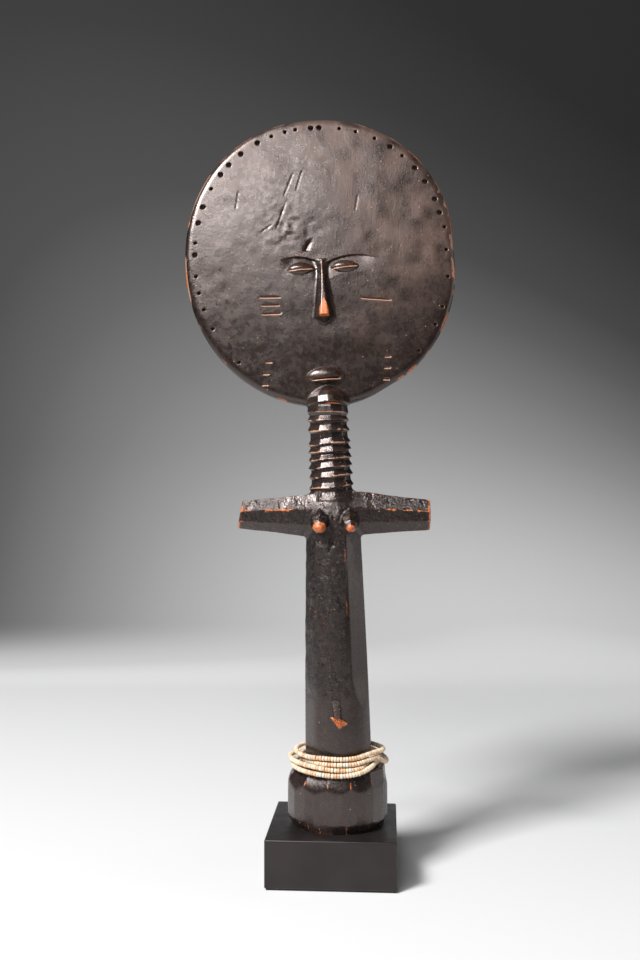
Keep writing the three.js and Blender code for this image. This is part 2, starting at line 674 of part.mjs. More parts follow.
const group = new THREE.Group();
group.name = 'disc_headed_doll';
group.add(meshFrom(blockSolid(), 'plinth', blackBlock));
group.add(meshFrom(figureSolid(), 'figure', darkWood, BLOCK_HEIGHT));
STRANDS.forEach((knots, index) => {
  group.add(meshFrom(strandSolid(knots), `bead_strand_${index + 1}`, creamGlass, BLOCK_HEIGHT));
});

export default group;
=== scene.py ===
"""Looks of a carved wooden doll with a flat disc head, standing on a black block.

The carved doll is one closed mesh, taken from a field: a function that is negative inside the
wood and gives roughly the distance to its surface. The field is drawn in millimetres, standing
on height 0, and its mesh is lifted onto the block. The beads are strung one by one along the
strands' routes.
"""

import itertools
import math

import bmesh
import bpy
import numpy as np
from mathutils import Matrix, Vector


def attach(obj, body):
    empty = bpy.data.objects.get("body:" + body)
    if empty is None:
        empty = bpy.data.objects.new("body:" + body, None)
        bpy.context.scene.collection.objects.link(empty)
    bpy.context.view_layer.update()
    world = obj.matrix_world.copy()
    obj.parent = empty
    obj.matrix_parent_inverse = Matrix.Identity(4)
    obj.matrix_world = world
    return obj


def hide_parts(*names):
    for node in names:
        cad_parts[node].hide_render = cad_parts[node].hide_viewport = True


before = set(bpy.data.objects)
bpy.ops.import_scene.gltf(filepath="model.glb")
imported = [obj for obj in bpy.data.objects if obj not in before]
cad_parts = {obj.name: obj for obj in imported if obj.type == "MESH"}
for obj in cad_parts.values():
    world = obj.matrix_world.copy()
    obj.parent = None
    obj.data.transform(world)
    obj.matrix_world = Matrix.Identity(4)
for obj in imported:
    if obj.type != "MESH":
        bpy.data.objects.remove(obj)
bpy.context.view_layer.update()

MM = 0.001
FAR = 60.0

# Black block under the doll, millimetres
BLOCK_WIDTH = 62.6
BLOCK_DEPTH = 64.6
BLOCK_HEIGHT = 23.9
BLOCK_TURN = -3.7
BLOCK_BEVEL = 0.7
REBATE_HEIGHT = 1.1
REBATE_INSET = 1.2

# Foot drum; turns are degrees from the front towards +X
DRUM_X = 1.8
DRUM_RADIUS = 24.7
DRUM_UNDER_RADIUS = 22.9
DRUM_UNDER_CUT = 3.6
DRUM_SHOULDER = 22.4
DRUM_TOP = 28.8
DRUM_TOP_RADIUS = 22.1
DRUM_RIDGES = [-78, -58, -40, -28, -11, 4, 20, 31, 43, 62, 84, 106, 130, 152, 176, 200, 222, 246, 265]
SHOULDER_RIDGES = [-78, -42, -12, 14, 42, 68, 97, 128, 160, 195, 228, 256]
UNDER_RIDGES = [-86, -66, -48, -37, -21, -7, 9, 25, 37, 51, 68, 90, 115, 141, 163, 188, 213, 235, 255]

# Column body with its broad flat on the right front, and slighter flats elsewhere
BODY_FOOT_Z = 37.3
BODY_TOP_Z = 140.3
BODY_FOOT_HALF = 16.85
BODY_TOP_HALF = 14.25
BODY_DEPTH_SHARE = 0.94
BODY_FOOT_X = 2.2
BODY_TOP_X = -0.2
FLAT_TURN = 49.2
FLAT_CUT = 1.7
FLAT_LOW_Z = 51
FLAT_FULL_Z = 75
SLIGHT_FLATS = [(-62, 0.9), (104, 0.9), (152, 0.8), (205, 0.9), (252, 0.8)]

# Chest and arms
ARMS = [
    {"end_x": -46.6, "end_z": 153.0, "end_radius": 6.9, "root_z": 152.7, "root_radius": 10.9, "slant": 0.16},
    {"end_x": 47.8, "end_z": 152.7, "end_radius": 7.6, "root_z": 153.8, "root_radius": 11.3, "slant": 0.0},
]
ARM_TAPER = [(0, 0), (0.28, 0.1), (0.62, 0.58), (1, 1)]
ARM_RIDGES = [[18, 62, 121, 162, 207, 252, 292, 338], [22, 64, 119, 164, 204, 248, 290, 336]]
ARM_RIDGE_SIZES = [1.0, 1.06, 1.13, 1.0, 1.0, 1.02, 1.0, 1.0]
ARM_DEPTH_SHARE = 0.93
CHEST_Z = 149.3
SHOULDER_TOP_Z = 168.3
CHEST_DROP = 2.6

# Breasts and navel
BREASTS = [
    {"root": (-6.8, -8.0, 152.2), "tip": (-7.4, -19.0, 145.6), "radius": 4.8, "tip_radius": 1.9},
    {"root": (7.5, -8.0, 152.0), "tip": (8.0, -18.8, 145.7), "radius": 4.8, "tip_radius": 1.4},
]
NAVEL_X = 2.5
NAVEL_Z = 54.7
NAVEL_OUT = 2.7
NAVEL_ABOVE = 8.5
NAVEL_BELOW = 4.0
NAVEL_RIDGE_HALF = 2.1
NAVEL_HALF_WIDTH = 4.5
NAVEL_SLANT = 0.36

# Ringed neck
NECK_FOOT = np.array([-0.8, 0, 160.6])
NECK_HEAD = np.array([-3.2, 0, 209.3])
NECK_FOOT_RADIUS = 11.2
NECK_HEAD_RADIUS = 10.1
NECK_CRESTS = [167.1, 172.6, 177.1, 180.9, 185.1, 188.7, 194.8, 199.7]
NECK_COLLAR_Z = 203.9
NECK_GROOVE = 1.35
NECK_TILT = 1.5
NECK_LEVEL_Z = 194
NECK_RIDGES = [-176, -142, -104, -86, -56, -28, 8, 44, 82, 118, 150]

# Disc head, in its own frame: x across, y up the disc, z out of the face
HEAD_CENTRE = np.array([-6.4, 9.0, 281.3])
HEAD_TILT = math.radians(6)
HEAD_LEAN = math.radians(2.8)
DISC_HALF_WIDTH = 69.0
DISC_HALF_HEIGHT = 75.0
DISC_FULLNESS = 1.7
DISC_WORN_SIDES = [(87, 1.3, 12), (155, 1.1, 9)]
DISC_HALF_THICK = 5.5
DISC_RIM_HALF = 3.4
DISC_ROUNDING = 4.2

# Holes bored round the rim; angles clockwise from the top
HOLE_INSET = 5.4
HOLE_INSET_LOW_RIGHT = 4.2
WIDE_HOLE = 1.25
NARROW_HOLE = 0.8
WIDE_ANGLES = [-85, -70, -62.5, -46, -40.5, -33.5, -25, -1.5, 2, 33.5, 47.5, 55, 64, 70.5]
NARROW_ANGLES = [
    -120.5, -111, -103, -95, -79.5, -53.5, -18.5, -12.5, -8, 10.5, 17.5, 26, 40, 77.5, 88, 100.5,
    114.5, 123, 136.5,
]
BLIND_ANGLE = -139.5
BLIND_DEPTH = 1.5

# Features of the face, in the head's frame
NOSE_X = 0.25
NOSE_TOP_Y = -2
NOSE_TIP_Y = -30.4
NOSE_KEEL = 3.2
NOSE_HEIGHT = 6.6
NOSE_HALF_WIDTH = 5.0
NOSE_FLAT = 1.9
EYES = [
    {"x": -10.6, "y": -4.7, "slit": ((-17, -5.4), (-3.8, -4.9)), "brow": ((-21, 0), (-13, 1.6), (-2, -1.2))},
    {"x": 11.9, "y": -4.4, "slit": ((5.2, -5.3), (18.4, -4.3)), "brow": ((29, -0.9), (14, 1.3), (3.6, -1.6))},
]
EYE_HALF = (7.4, 3.4)
EYE_HEIGHT = 1.7
SOCKET_DROP = 9
SOCKET_DEPTH = 1.5
MOUTH = {"x": -0.6, "y": -60.4, "slit": ((-8, -61.7), (7.2, -61.3))}
MOUTH_HALF = (9.4, 5.0)
MOUTH_LOWER_HALF = 3.4
MOUTH_HEIGHT = 3.2
CHIN_LEVELS = [(-75.5, 8.8), (-74.3, 11.3), (-71, 10.6), (-68.3, 8.7), (-66.4, 5.6), (-64.4, 2)]
CHIN_FORWARD = 1.2
CHIN_RIDGES = [-162, -126, -90, -54, -18, 14, 47, 76, 91, 117, 150]
CHEEK_SCARS = [
    ((-32.4, -18.2), (-20.8, -18.7)),
    ((-31.4, -22.4), (-21.4, -22.8)),
    ((-31.2, -26.9), (-21.0, -27.1)),
    ((18.6, -21.0), (34.6, -22.8)),
]
JAW_NOTCHES = [(-28.4, -51.4), (-30.2, -57.2), (-30.9, -62.7), (31.0, -51.4), (30.4, -57.0), (29.6, -62.8)]
NOTCH_LENGTH = 3.4
SCAR_HALF = 0.62
SCAR_DEPTH = 0.95

# Bead strands: [turn, radius, height] along each route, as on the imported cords
STRAND_X = 1.9
STRANDS = [
    [[0, 19.5, 35.3], [24, 19.5, 35.4], [45, 20.1, 36.4], [62, 20.8, 36.7], [82, 22.4, 36.2],
     [104, 23.1, 35.4], [130, 23.3, 35.2], [154, 21.3, 36.7], [180, 19.7, 36.7], [210, 20.0, 36.2],
     [240, 21.0, 35.7], [270, 20.6, 35.9], [318, 21.4, 35.8], [340, 20.2, 35.7]],
    [[0, 20.9, 32.9], [24, 20.5, 32.8], [45, 20.5, 33.8], [62, 21.6, 33.8], [80, 23.6, 30.7],
     [104, 24.9, 30.1], [130, 24.3, 32.0], [152, 23.0, 33.9], [180, 21.2, 34.0], [210, 19.8, 33.3],
     [240, 18.7, 33.2], [270, 18.4, 33.6], [318, 20.0, 33.2], [340, 20.6, 32.9]],
    [[0, 22.4, 30.6], [24, 21.8, 30.5], [45, 19.1, 31.2], [62, 18.4, 33.5], [82, 18.6, 33.9],
     [106, 18.8, 33.5], [130, 20.0, 32.3], [152, 21.1, 31.4], [180, 22.5, 31.4], [210, 23.4, 31.5],
     [240, 24.5, 31.3], [270, 23.8, 32.3], [318, 22.8, 32.0]],
    [[0, 24.0, 28.4], [24, 24.4, 29.3], [45, 22.8, 31.0], [62, 20.2, 30.9], [82, 20.0, 30.7],
     [104, 20.4, 30.6], [126, 21.9, 30.3], [150, 24.4, 29.4], [180, 23.9, 29.0], [210, 23.2, 28.9],
     [240, 22.6, 29.0], [270, 22.3, 29.5], [318, 23.8, 29.2]],
]
BEAD_RADIUS = 1.24
BEAD_HALF_LENGTH = 0.73
BEAD_HOLE_RADIUS = 0.42
BEAD_PITCH = 1.45

# Mesh of the doll
PITCH = 0.5
CHUNK = 8
BAND = 7.0
TRIANGLES = 188000

# The camera's place in millimetres, its field in photograph pixels
CAMERA_PLACE = (-6.9, -525, 184.2)
PHOTO_HEIGHT = 960
FOCAL_PIXELS = 1050
HORIZON_BELOW_MIDDLE = 20


# Small functions of numbers and of fields

def mix(a, b, share):
    return a + (b - a) * share


def ramp(value, low, high):
    share = np.clip((value - low) / (high - low), 0, 1)
    return share * share * (3 - 2 * share)


def bell(value, middle, spread):
    return np.exp(-(((value - middle) / spread) ** 2))


def join(a, b, blend):
    """The wood of both fields, its inner corner filled over about the blend's width."""
    near = np.maximum(blend - np.abs(a - b), 0) / blend
    return np.minimum(a, b) - near * near * blend / 4


def meet(a, b, blend):
    """The wood in both fields, its outer corner worn over about the blend's width."""
    return -join(-a, -b, blend)


def scatter(index, seed):
    """Repeatable values from -1 to 1, one for each whole number."""
    value = np.sin(np.asarray(index) * 12.9898 + seed * 78.233) * 43758.5453
    return 2 * (value - np.floor(value)) - 1


def lattice_values(cells, seed):
    """Repeatable values from -1 to 1, one for each lattice cell."""
    mixed = cells[..., 0] * 374761393 + cells[..., 1] * 668265263
    mixed = mixed + cells[..., 2] * 2147483647 + seed * 974634777
    mixed = (mixed ^ (mixed >> 13)) * 1274126177
    mixed = (mixed ^ (mixed >> 16)) & 0xFFFF
    return mixed / 32767.5 - 1


def uneven(points, cell, seed):
    """Smooth unevenness from -1 to 1, with bumps about one cell wide."""
    scaled = points / cell
    base = np.floor(scaled).astype(np.int64)
    part = scaled - base
    part = part * part * (3 - 2 * part)
    total = np.zeros(len(points))
    for corner in itertools.product((0, 1), repeat=3):
        weight = np.ones(len(points))
        for axis, high in enumerate(corner):
            weight *= part[:, axis] if high else 1 - part[:, axis]
        total += weight * lattice_values(base + np.array(corner), seed)
    return total


class Facets:
    """Flat knife cuts round an axis, between corners at the given turns in degrees.

    Sizes tell how far each corner lies from the axis, as a share of the others.
    """

    def __init__(self, corners, sizes=None):
        self.corners = np.array(corners, float)
        ends = np.append(self.corners, self.corners[0] + 360)
        spread = np.ones(len(ends)) if sizes is None else np.append(sizes, sizes[0])
        places = spread * np.exp(1j * np.radians(ends))
        outward = np.diff(places) * -1j
        self.turns = np.degrees(np.angle(outward))
        self.reaches = (places[:-1] * np.conj(outward)).real / np.abs(outward)

    def index(self, turn):
        lifted = (turn - self.corners[0]) % 360 + self.corners[0]
        return np.searchsorted(self.corners, lifted, side="right") - 1

    def reach(self, radius, turn, flatness=1.0):
        """Radius of the outline that passes through each point, measured at a corner of size 1."""
        index = self.index(turn)
        flat = np.cos(np.radians(turn - self.turns[index])) / self.reaches[index]
        return radius * mix(1.0, flat, flatness)


DRUM_SIDES = Facets(DRUM_RIDGES)
DRUM_SHOULDERS = Facets(SHOULDER_RIDGES)
DRUM_UNDERSIDES = Facets(UNDER_RIDGES)
NECK_SIDES = Facets(NECK_RIDGES)
CHIN_SIDES = Facets(CHIN_RIDGES)
ARM_SIDES = [Facets(ridges, ARM_RIDGE_SIZES) for ridges in ARM_RIDGES]
BREAST_SIDES = Facets([-170, -118, -62, -12, 40, 92, 140])


# The doll's field, part by part

def drum_field(p):
    x = p[:, 0] - DRUM_X
    y = p[:, 1]
    z = p[:, 2]
    radius = np.hypot(x, y)
    turn = np.degrees(np.arctan2(x, -y))
    swell = 0.25 * (1 - (z / (DRUM_SHOULDER / 2) - 1) ** 2)
    side = DRUM_SIDES.reach(radius, turn, 0.8) - DRUM_RADIUS - swell
    dip = 0.45 * scatter(DRUM_SHOULDERS.index(turn), 3)
    slope = (DRUM_RADIUS - DRUM_TOP_RADIUS) / (DRUM_TOP - DRUM_SHOULDER)
    shoulder = DRUM_SHOULDERS.reach(radius, turn) - DRUM_RADIUS + (z - DRUM_SHOULDER - dip) * slope
    shoulder = (shoulder - 1.5 * np.sin(np.radians(turn)) * ramp(z, DRUM_SHOULDER, DRUM_TOP)) * 0.92
    rise = 0.35 * scatter(DRUM_UNDERSIDES.index(turn), 5)
    under_slope = (DRUM_RADIUS - DRUM_UNDER_RADIUS) / DRUM_UNDER_CUT
    under = DRUM_UNDERSIDES.reach(radius, turn, 0.7) - DRUM_UNDER_RADIUS - (z + rise) * under_slope
    field = meet(side, shoulder, 0.5)
    field = meet(field, under * 0.88, 0.5)
    field = meet(field, z - DRUM_TOP - 0.4 * ramp(radius, 22, 16), 0.8)
    return np.maximum(field, -z)


def body_half(z):
    share = np.clip((z - BODY_FOOT_Z) / (BODY_TOP_Z - BODY_FOOT_Z), 0, 1)
    return mix(BODY_FOOT_HALF, BODY_TOP_HALF, share ** 1.3)


def body_frame(p):
    """Offsets from the column's axis, level with the chest's dropped front taken out."""
    share = (p[:, 2] - BODY_FOOT_Z) / (BODY_TOP_Z - BODY_FOOT_Z)
    x = p[:, 0] - mix(BODY_FOOT_X, BODY_TOP_X, share)
    y = p[:, 1]
    forward = np.clip(-y / np.maximum(np.hypot(x, y), 0.1), 0, 1)
    z = p[:, 2] + CHEST_DROP * ramp(p[:, 2], CHEST_Z, CHEST_Z + 8) * forward
    return x, y, z


def body_field(p):
    x, y, z = body_frame(p)
    half = body_half(z)
    dome = np.maximum(z - CHEST_Z, 0) / ((SHOULDER_TOP_Z - CHEST_Z) / 0.85)
    depth = half * BODY_DEPTH_SHARE
    field = (np.sqrt((x / half) ** 2 + (y / depth) ** 2 + dome ** 2) - 1) * depth
    turn = math.radians(FLAT_TURN)
    cut = FLAT_CUT * ramp(z, FLAT_LOW_Z, FLAT_FULL_Z)
    flat = x * math.sin(turn) - y * math.cos(turn) - (half - cut)
    field = meet(field, np.where(z < CHEST_Z + 4, flat, -FAR), 0.25)
    for degrees, depth_cut in SLIGHT_FLATS:
        turn = math.radians(degrees)
        flat = x * math.sin(turn) - y * math.cos(turn) - (half * 0.97 - depth_cut)
        field = meet(field, np.where(z < CHEST_Z, flat, -FAR), 1.2)
    field = field - 0.22 * crust_cover(p) * uneven(p * np.array([1, 1, 0.55]), 2.2, 4) - navel_height(p)
    return np.maximum(field, z - SHOULDER_TOP_Z - 2)


def crust_cover(p):
    """Where the thick black crust lies: the body's left front, the chest and the arms' fronts."""
    x, y, z = body_frame(p)
    turn = np.degrees(np.arctan2(x, -y))
    edge = 24 + 3 * np.sin(z / 9.0)
    front = ramp(turn, edge, edge - 5) * ramp(turn, -150, -115)
    body = front * ramp(z, 56, 72) * ramp(z, 166, 158)
    back = 0.5 * ramp(uneven(p, 22, 8), 0.1, 0.5) * ramp(z, 40, 60)
    arm = ramp(np.abs(p[:, 0]), 12, 16) * ramp(z, 138, 141) * ramp(z, 168, 165)
    return np.clip(np.maximum(np.maximum(body, back * (z < 166)), arm * 0.8), 0, 1)


def arm_field(p, arm, facets, seed):
    outward = p[:, 0] * math.copysign(1, arm["end_x"])
    share = np.clip(p[:, 0] / arm["end_x"], 0, 1.05)
    taper = np.interp(share, *zip(*ARM_TAPER))
    radius = mix(arm["root_radius"], arm["end_radius"], taper)
    across = p[:, 1] / ARM_DEPTH_SHARE
    height = p[:, 2] - mix(arm["root_z"], arm["end_z"], share)
    turn = np.degrees(np.arctan2(height, across))
    reach = facets.reach(np.hypot(across, height), turn)
    offset = 0.025 * scatter(facets.index(turn), seed)
    side = (reach - radius * (1.03 + offset)) * 0.95
    side = side - 0.12 * uneven(p, 5, seed)
    end = outward - abs(arm["end_x"]) - math.copysign(arm["slant"], arm["end_x"]) * height
    hollow = 0.25 * ramp(np.hypot(across, height), 5, 1)
    return np.maximum(meet(side, end + hollow, 1.0), -4 - outward)


def nub_field(p, nub, facets, swell, round_tip):
    """Knife-cut nub along the line from root to tip."""
    root = np.array(nub["root"])
    line = np.array(nub["tip"]) - root
    length = np.linalg.norm(line)
    axis = line / length
    across = np.array([1.0, 0, 0]) - axis * axis[0]
    across /= np.linalg.norm(across)
    along = np.cross(axis, across)
    offset = p - root
    share = offset @ axis / length
    radius = np.hypot(offset @ across, offset @ along)
    turn = np.degrees(np.arctan2(offset @ along, offset @ across))
    size = nub["radius"] * np.interp(share, *zip(*swell))
    size = np.minimum(size, mix(nub["tip_radius"] * 1.2, size, ramp(share, 1, 0.72)))
    side = (facets.reach(radius, turn, 0.8) - size) * 0.85
    return np.maximum(meet(side, (share - 1) * length, round_tip), -share * length)


def breast_field(p, breast):
    return nub_field(p, breast, BREAST_SIDES, [(0, 1), (0.45, 1), (0.8, 0.74), (1, 0.45)], 1.8)


def navel_height(p):
    """Height on the body: a narrow ridge grows downward, then is cut back in a slanting diamond."""
    up = p[:, 2] - NAVEL_Z
    aside = p[:, 0] - NAVEL_X
    width = np.abs(aside + 1.0 + 0.1 * up)
    ridge = NAVEL_OUT * np.minimum(1 - up / NAVEL_ABOVE, (NAVEL_RIDGE_HALF - width) * 1.1)
    slanted = up + NAVEL_SLANT * (aside + NAVEL_HALF_WIDTH)
    below = 1 + slanted / NAVEL_BELOW
    diamond = NAVEL_OUT * (np.minimum(below, 1 - slanted / 1.5) - np.abs(aside) / NAVEL_HALF_WIDTH)
    height = np.maximum(np.minimum(ridge, NAVEL_OUT * (1 + up / 2.5)), diamond)
    return np.maximum(height, 0) * (p[:, 1] < 0)


def navel_worn(p):
    """The raw diamond at the navel's lower end."""
    up = p[:, 2] - NAVEL_Z
    aside = p[:, 0] - NAVEL_X
    slanted = up + NAVEL_SLANT * (aside + NAVEL_HALF_WIDTH)
    inside = 1 - np.abs(aside) / NAVEL_HALF_WIDTH
    return (p[:, 1] < -10) * ramp(np.minimum(inside + slanted / NAVEL_BELOW, inside - slanted / 1.6), 0, 0.12)


def neck_profile():
    """Heights and insets down the neck: a long slope above each crest and a short cut under it."""
    levels = [(NECK_FOOT[2], 0.2), (NECK_CRESTS[0] - 2.4, NECK_GROOVE)]
    for index, z in enumerate(NECK_CRESTS):
        above = (NECK_CRESTS + [NECK_COLLAR_Z])[index + 1]
        levels += [(z - 0.9, NECK_GROOVE), (z, -0.1), (min(z + 2.4, above - 1.1), NECK_GROOVE * 0.95)]
    return levels + [(NECK_COLLAR_Z, 0.1), (NECK_COLLAR_Z + 2.8, 0.4), (NECK_HEAD[2], 1.2)]


NECK_LEVELS = neck_profile()


def neck_frame(p):
    """Radius and turn about the neck's axis, and the height with the rings' tilt taken out."""
    share = (p[:, 2] - NECK_FOOT[2]) / (NECK_HEAD[2] - NECK_FOOT[2])
    x = p[:, 0] - mix(NECK_FOOT[0], NECK_HEAD[0], share)
    y = p[:, 1]
    angle = np.arctan2(x, -y)
    tilt = NECK_TILT * (1 - ramp(p[:, 2], NECK_LEVEL_Z - 6, NECK_LEVEL_Z + 6))
    around = np.stack([5 * np.sin(angle), 5 * np.cos(angle), p[:, 2] * 0.8], -1)
    height = p[:, 2] - tilt * (0.8 * np.sin(angle) - 0.5 * np.cos(angle)) - 0.5 * uneven(around, 3.2, 6)
    return np.hypot(x, y), np.degrees(angle), height, share


def neck_field(p):
    radius, turn, height, share = neck_frame(p)
    inset = np.interp(height, *zip(*NECK_LEVELS))
    outer = mix(NECK_FOOT_RADIUS, NECK_HEAD_RADIUS, share)
    field = (NECK_SIDES.reach(radius, turn, 0.75) - outer - 0.2 + inset) * 0.75
    return np.maximum(field, np.maximum(NECK_FOOT[2] - p[:, 2], p[:, 2] - NECK_HEAD[2]))


def head_axes():
    """Directions across the disc, up it and out of the face: leaned to the left, tilted back."""
    right = np.array([math.cos(HEAD_LEAN), 0, math.sin(HEAD_LEAN)])
    upright = np.array([-math.sin(HEAD_LEAN), 0, math.cos(HEAD_LEAN)])
    up = upright * math.cos(HEAD_TILT) + np.array([0, math.sin(HEAD_TILT), 0])
    return np.stack([right, up, np.cross(right, up)], axis=1)


HEAD_AXES = head_axes()


def disc_reach(turn):
    """Outline radius of the disc at an angle clockwise from its top."""
    angle = np.radians(turn)
    oval = 1 / np.hypot(np.sin(angle) / DISC_HALF_WIDTH, np.cos(angle) / DISC_HALF_HEIGHT)
    fuller = np.where(np.cos(angle) > 0, DISC_FULLNESS * np.abs(np.sin(2 * angle)) ** 1.3, 0)
    for place, depth, spread in DISC_WORN_SIDES:
        oval = oval - depth * bell(turn, place, spread)
    return oval + fuller


def disc_height(x, y):
    share = np.minimum(1, np.hypot(x / DISC_HALF_WIDTH, y / DISC_HALF_HEIGHT))
    return mix(DISC_HALF_THICK, DISC_RIM_HALF, share ** 2.2)


def beside_line(x, y, line):
    """Share along a line, clipped to it, and the signed distance above it."""
    start, end = np.array(line[0], float), np.array(line[1], float)
    along = end - start
    length = np.linalg.norm(along)
    along = along / length
    share = ((x - start[0]) * along[0] + (y - start[1]) * along[1]) / length
    above = (y - start[1]) * along[0] - (x - start[0]) * along[1]
    return share, above * np.sign(along[0])


def groove(x, y, line, half, depth):
    """Depth of a knife cut, running out at both ends."""
    share, above = beside_line(x, y, line)
    strength = np.clip(np.minimum(share, 1 - share) / 0.12, 0, 1)
    return depth * strength * np.maximum(0, 1 - np.abs(above) / (half * (0.4 + 0.6 * strength)))


def brow_height(x, brow):
    """Height of the brow's line above x, and the share from its outer to its inner end."""
    outer, peak, inner = brow
    curve = np.polyfit([outer[0], peak[0], inner[0]], [outer[1], peak[1], inner[1]], 2)
    return np.polyval(curve, x), (x - outer[0]) / (inner[0] - outer[0])


def socket_depth(x, y, brow):
    line, share = brow_height(x, brow)
    strength = ramp(share, -0.02, 0.4) * ramp(share, 1.35, 1.0) * mix(0.7, 1.1, np.clip(share, 0, 1))
    below = (line - y) / SOCKET_DROP
    step = ramp(line - y, -0.1, 0.25)
    return SOCKET_DEPTH * strength * step * np.clip(1 - below, 0, 1) ** 1.2


def lid_height(x, y, eye):
    """Height of the almond lid, which rises from the floor of its socket."""
    across = (x - eye["x"]) / EYE_HALF[0]
    half = EYE_HALF[1] * np.clip(1 - across ** 2, 0.02, 1) ** 0.35
    up = (y - eye["y"]) / half
    rise = np.clip(1 - across ** 2 - up ** 2, 0, 1) ** np.where(up > 0, 0.6, 0.35)
    return rise * (EYE_HEIGHT + SOCKET_DEPTH) - SOCKET_DEPTH


def mouth_height(x, y):
    """Height of the mouth's mound, well below the disc where there is none."""
    across = (x - MOUTH["x"]) / MOUTH_HALF[0]
    rise = y - MOUTH["y"]
    up = rise / np.where(rise > 0, MOUTH_HALF[1], MOUTH_LOWER_HALF)
    mound = np.clip(1 - across ** 2 - up ** 2, 0, 1) ** 0.5
    return np.where(mound > 0, MOUTH_HEIGHT * mound, -SOCKET_DEPTH * 2)


def face_cuts():
    """Lines, half widths and depths of the slits, scars and notches."""
    cuts = [(line, SCAR_HALF, SCAR_DEPTH) for line in CHEEK_SCARS]
    for x, y in JAW_NOTCHES:
        line = ((x - NOTCH_LENGTH / 2, y), (x + NOTCH_LENGTH / 2, y - 0.1))
        cuts.append((line, SCAR_HALF, SCAR_DEPTH * 0.8))
    cuts += [(eye["slit"], 0.55, 0.9) for eye in EYES]
    cuts.append((MOUTH["slit"], 0.75, 1.5))
    return cuts


FACE_CUTS = face_cuts()
SCRATCHES = [
    ((-11.5, 46.5), (-17.5, 33.0)), ((-7.0, 47.5), (-11.0, 36.0)), ((-16.0, 31.0), (-22.0, 16.0)),
    ((-40.0, 38.0), (-42.0, 28.0)), ((20.5, 33.0), (18.5, 24.0)), ((-30.0, 15.0), (-23.0, 19.5)),
]
GOUGE = (-6.4, 6.6)


def face_surface(x, y):
    """Height of the carved face above the disc's middle plane."""
    plain = disc_height(x, y)
    surface = plain.copy()
    for eye in EYES:
        surface -= socket_depth(x, y, eye["brow"])
    for eye in EYES:
        surface = np.maximum(surface, plain + lid_height(x, y, eye))
    surface = np.maximum(surface, plain + mouth_height(x, y))
    for line, half, depth in FACE_CUTS:
        surface -= groove(x, y, line, half, depth)
    for line in SCRATCHES:
        surface -= groove(x, y, line, 0.9, 0.16)
    leaning = (x - GOUGE[0]) * 0.9 - (y - GOUGE[1]) * 0.42
    gouged = ramp(y, GOUGE[1] - 2.6, GOUGE[1] - 1.8) * ramp(y, GOUGE[1] + 5, GOUGE[1])
    surface -= 0.75 * bell(leaning, 0, 1.0) * gouged
    return surface


def nose_field(x, y, z):
    share = (NOSE_TOP_Y - y) / (NOSE_TOP_Y - NOSE_TIP_Y)
    height = NOSE_HEIGHT * np.interp(share, [0, 0.15, 0.55, 1], [0.12, 0.34, 0.66, 1])
    half = NOSE_HALF_WIDTH * np.interp(share, [0, 0.15, 0.55, 1], [0.3, 0.42, 0.72, 1])
    flat = NOSE_FLAT * np.interp(share, [0, 0.15, 0.55, 1], [0.1, 0.16, 0.42, 1])
    above = z - DISC_HALF_THICK
    aside = np.abs(x - NOSE_X)
    side = aside - flat - (half - flat) * (1 - above / np.maximum(height, 0.1))
    top = above - height
    lower = (1 - np.clip(aside / NOSE_HALF_WIDTH, 0, 1)) * (1 - np.clip(above / NOSE_HEIGHT, 0, 1))
    end = (NOSE_TIP_Y - NOSE_KEEL * lower - y) * 0.8
    field = meet(side * 0.75, top, 0.35)
    return np.maximum(np.maximum(meet(field, end, 0.3), y - NOSE_TOP_Y - 1.5), 2 - z)


def chin_field(x, y, z):
    turn = np.degrees(np.arctan2(z - CHIN_FORWARD, x))
    radius = np.hypot(x, z - CHIN_FORWARD)
    size = np.interp(y, *zip(*CHIN_LEVELS))
    side = (CHIN_SIDES.reach(radius, turn) - size) * 0.72
    low = CHIN_LEVELS[0][0] + 0.6 * scatter(CHIN_SIDES.index(turn), 3)
    return np.maximum(side, np.maximum(low - y, y - CHIN_LEVELS[-1][0]))


def hole_places():
    holes = [(turn, WIDE_HOLE) for turn in WIDE_ANGLES] + [(turn, NARROW_HOLE) for turn in NARROW_ANGLES]
    places = []
    for turn, radius in holes + [(BLIND_ANGLE, NARROW_HOLE)]:
        inset = HOLE_INSET_LOW_RIGHT if turn > 74 else HOLE_INSET
        reach = float(disc_reach(np.array(turn))) - inset
        angle = math.radians(turn)
        places.append((reach * math.sin(angle), reach * math.cos(angle), radius))
    return places


HOLES = hole_places()


def head_frame(p):
    q = (p - HEAD_CENTRE) @ HEAD_AXES
    return q[:, 0], q[:, 1], q[:, 2]


def knife_traces(p, x, y):
    """Low unevenness of the disc: broad everywhere, and tighter above the left brow."""
    tight = bell(x, -17, 14) * bell(y, 20, 12)
    return 0.16 * uneven(p, 11, 1) + 0.07 * uneven(p, 4.5, 2) + 0.24 * tight * uneven(p, 2.6, 3)


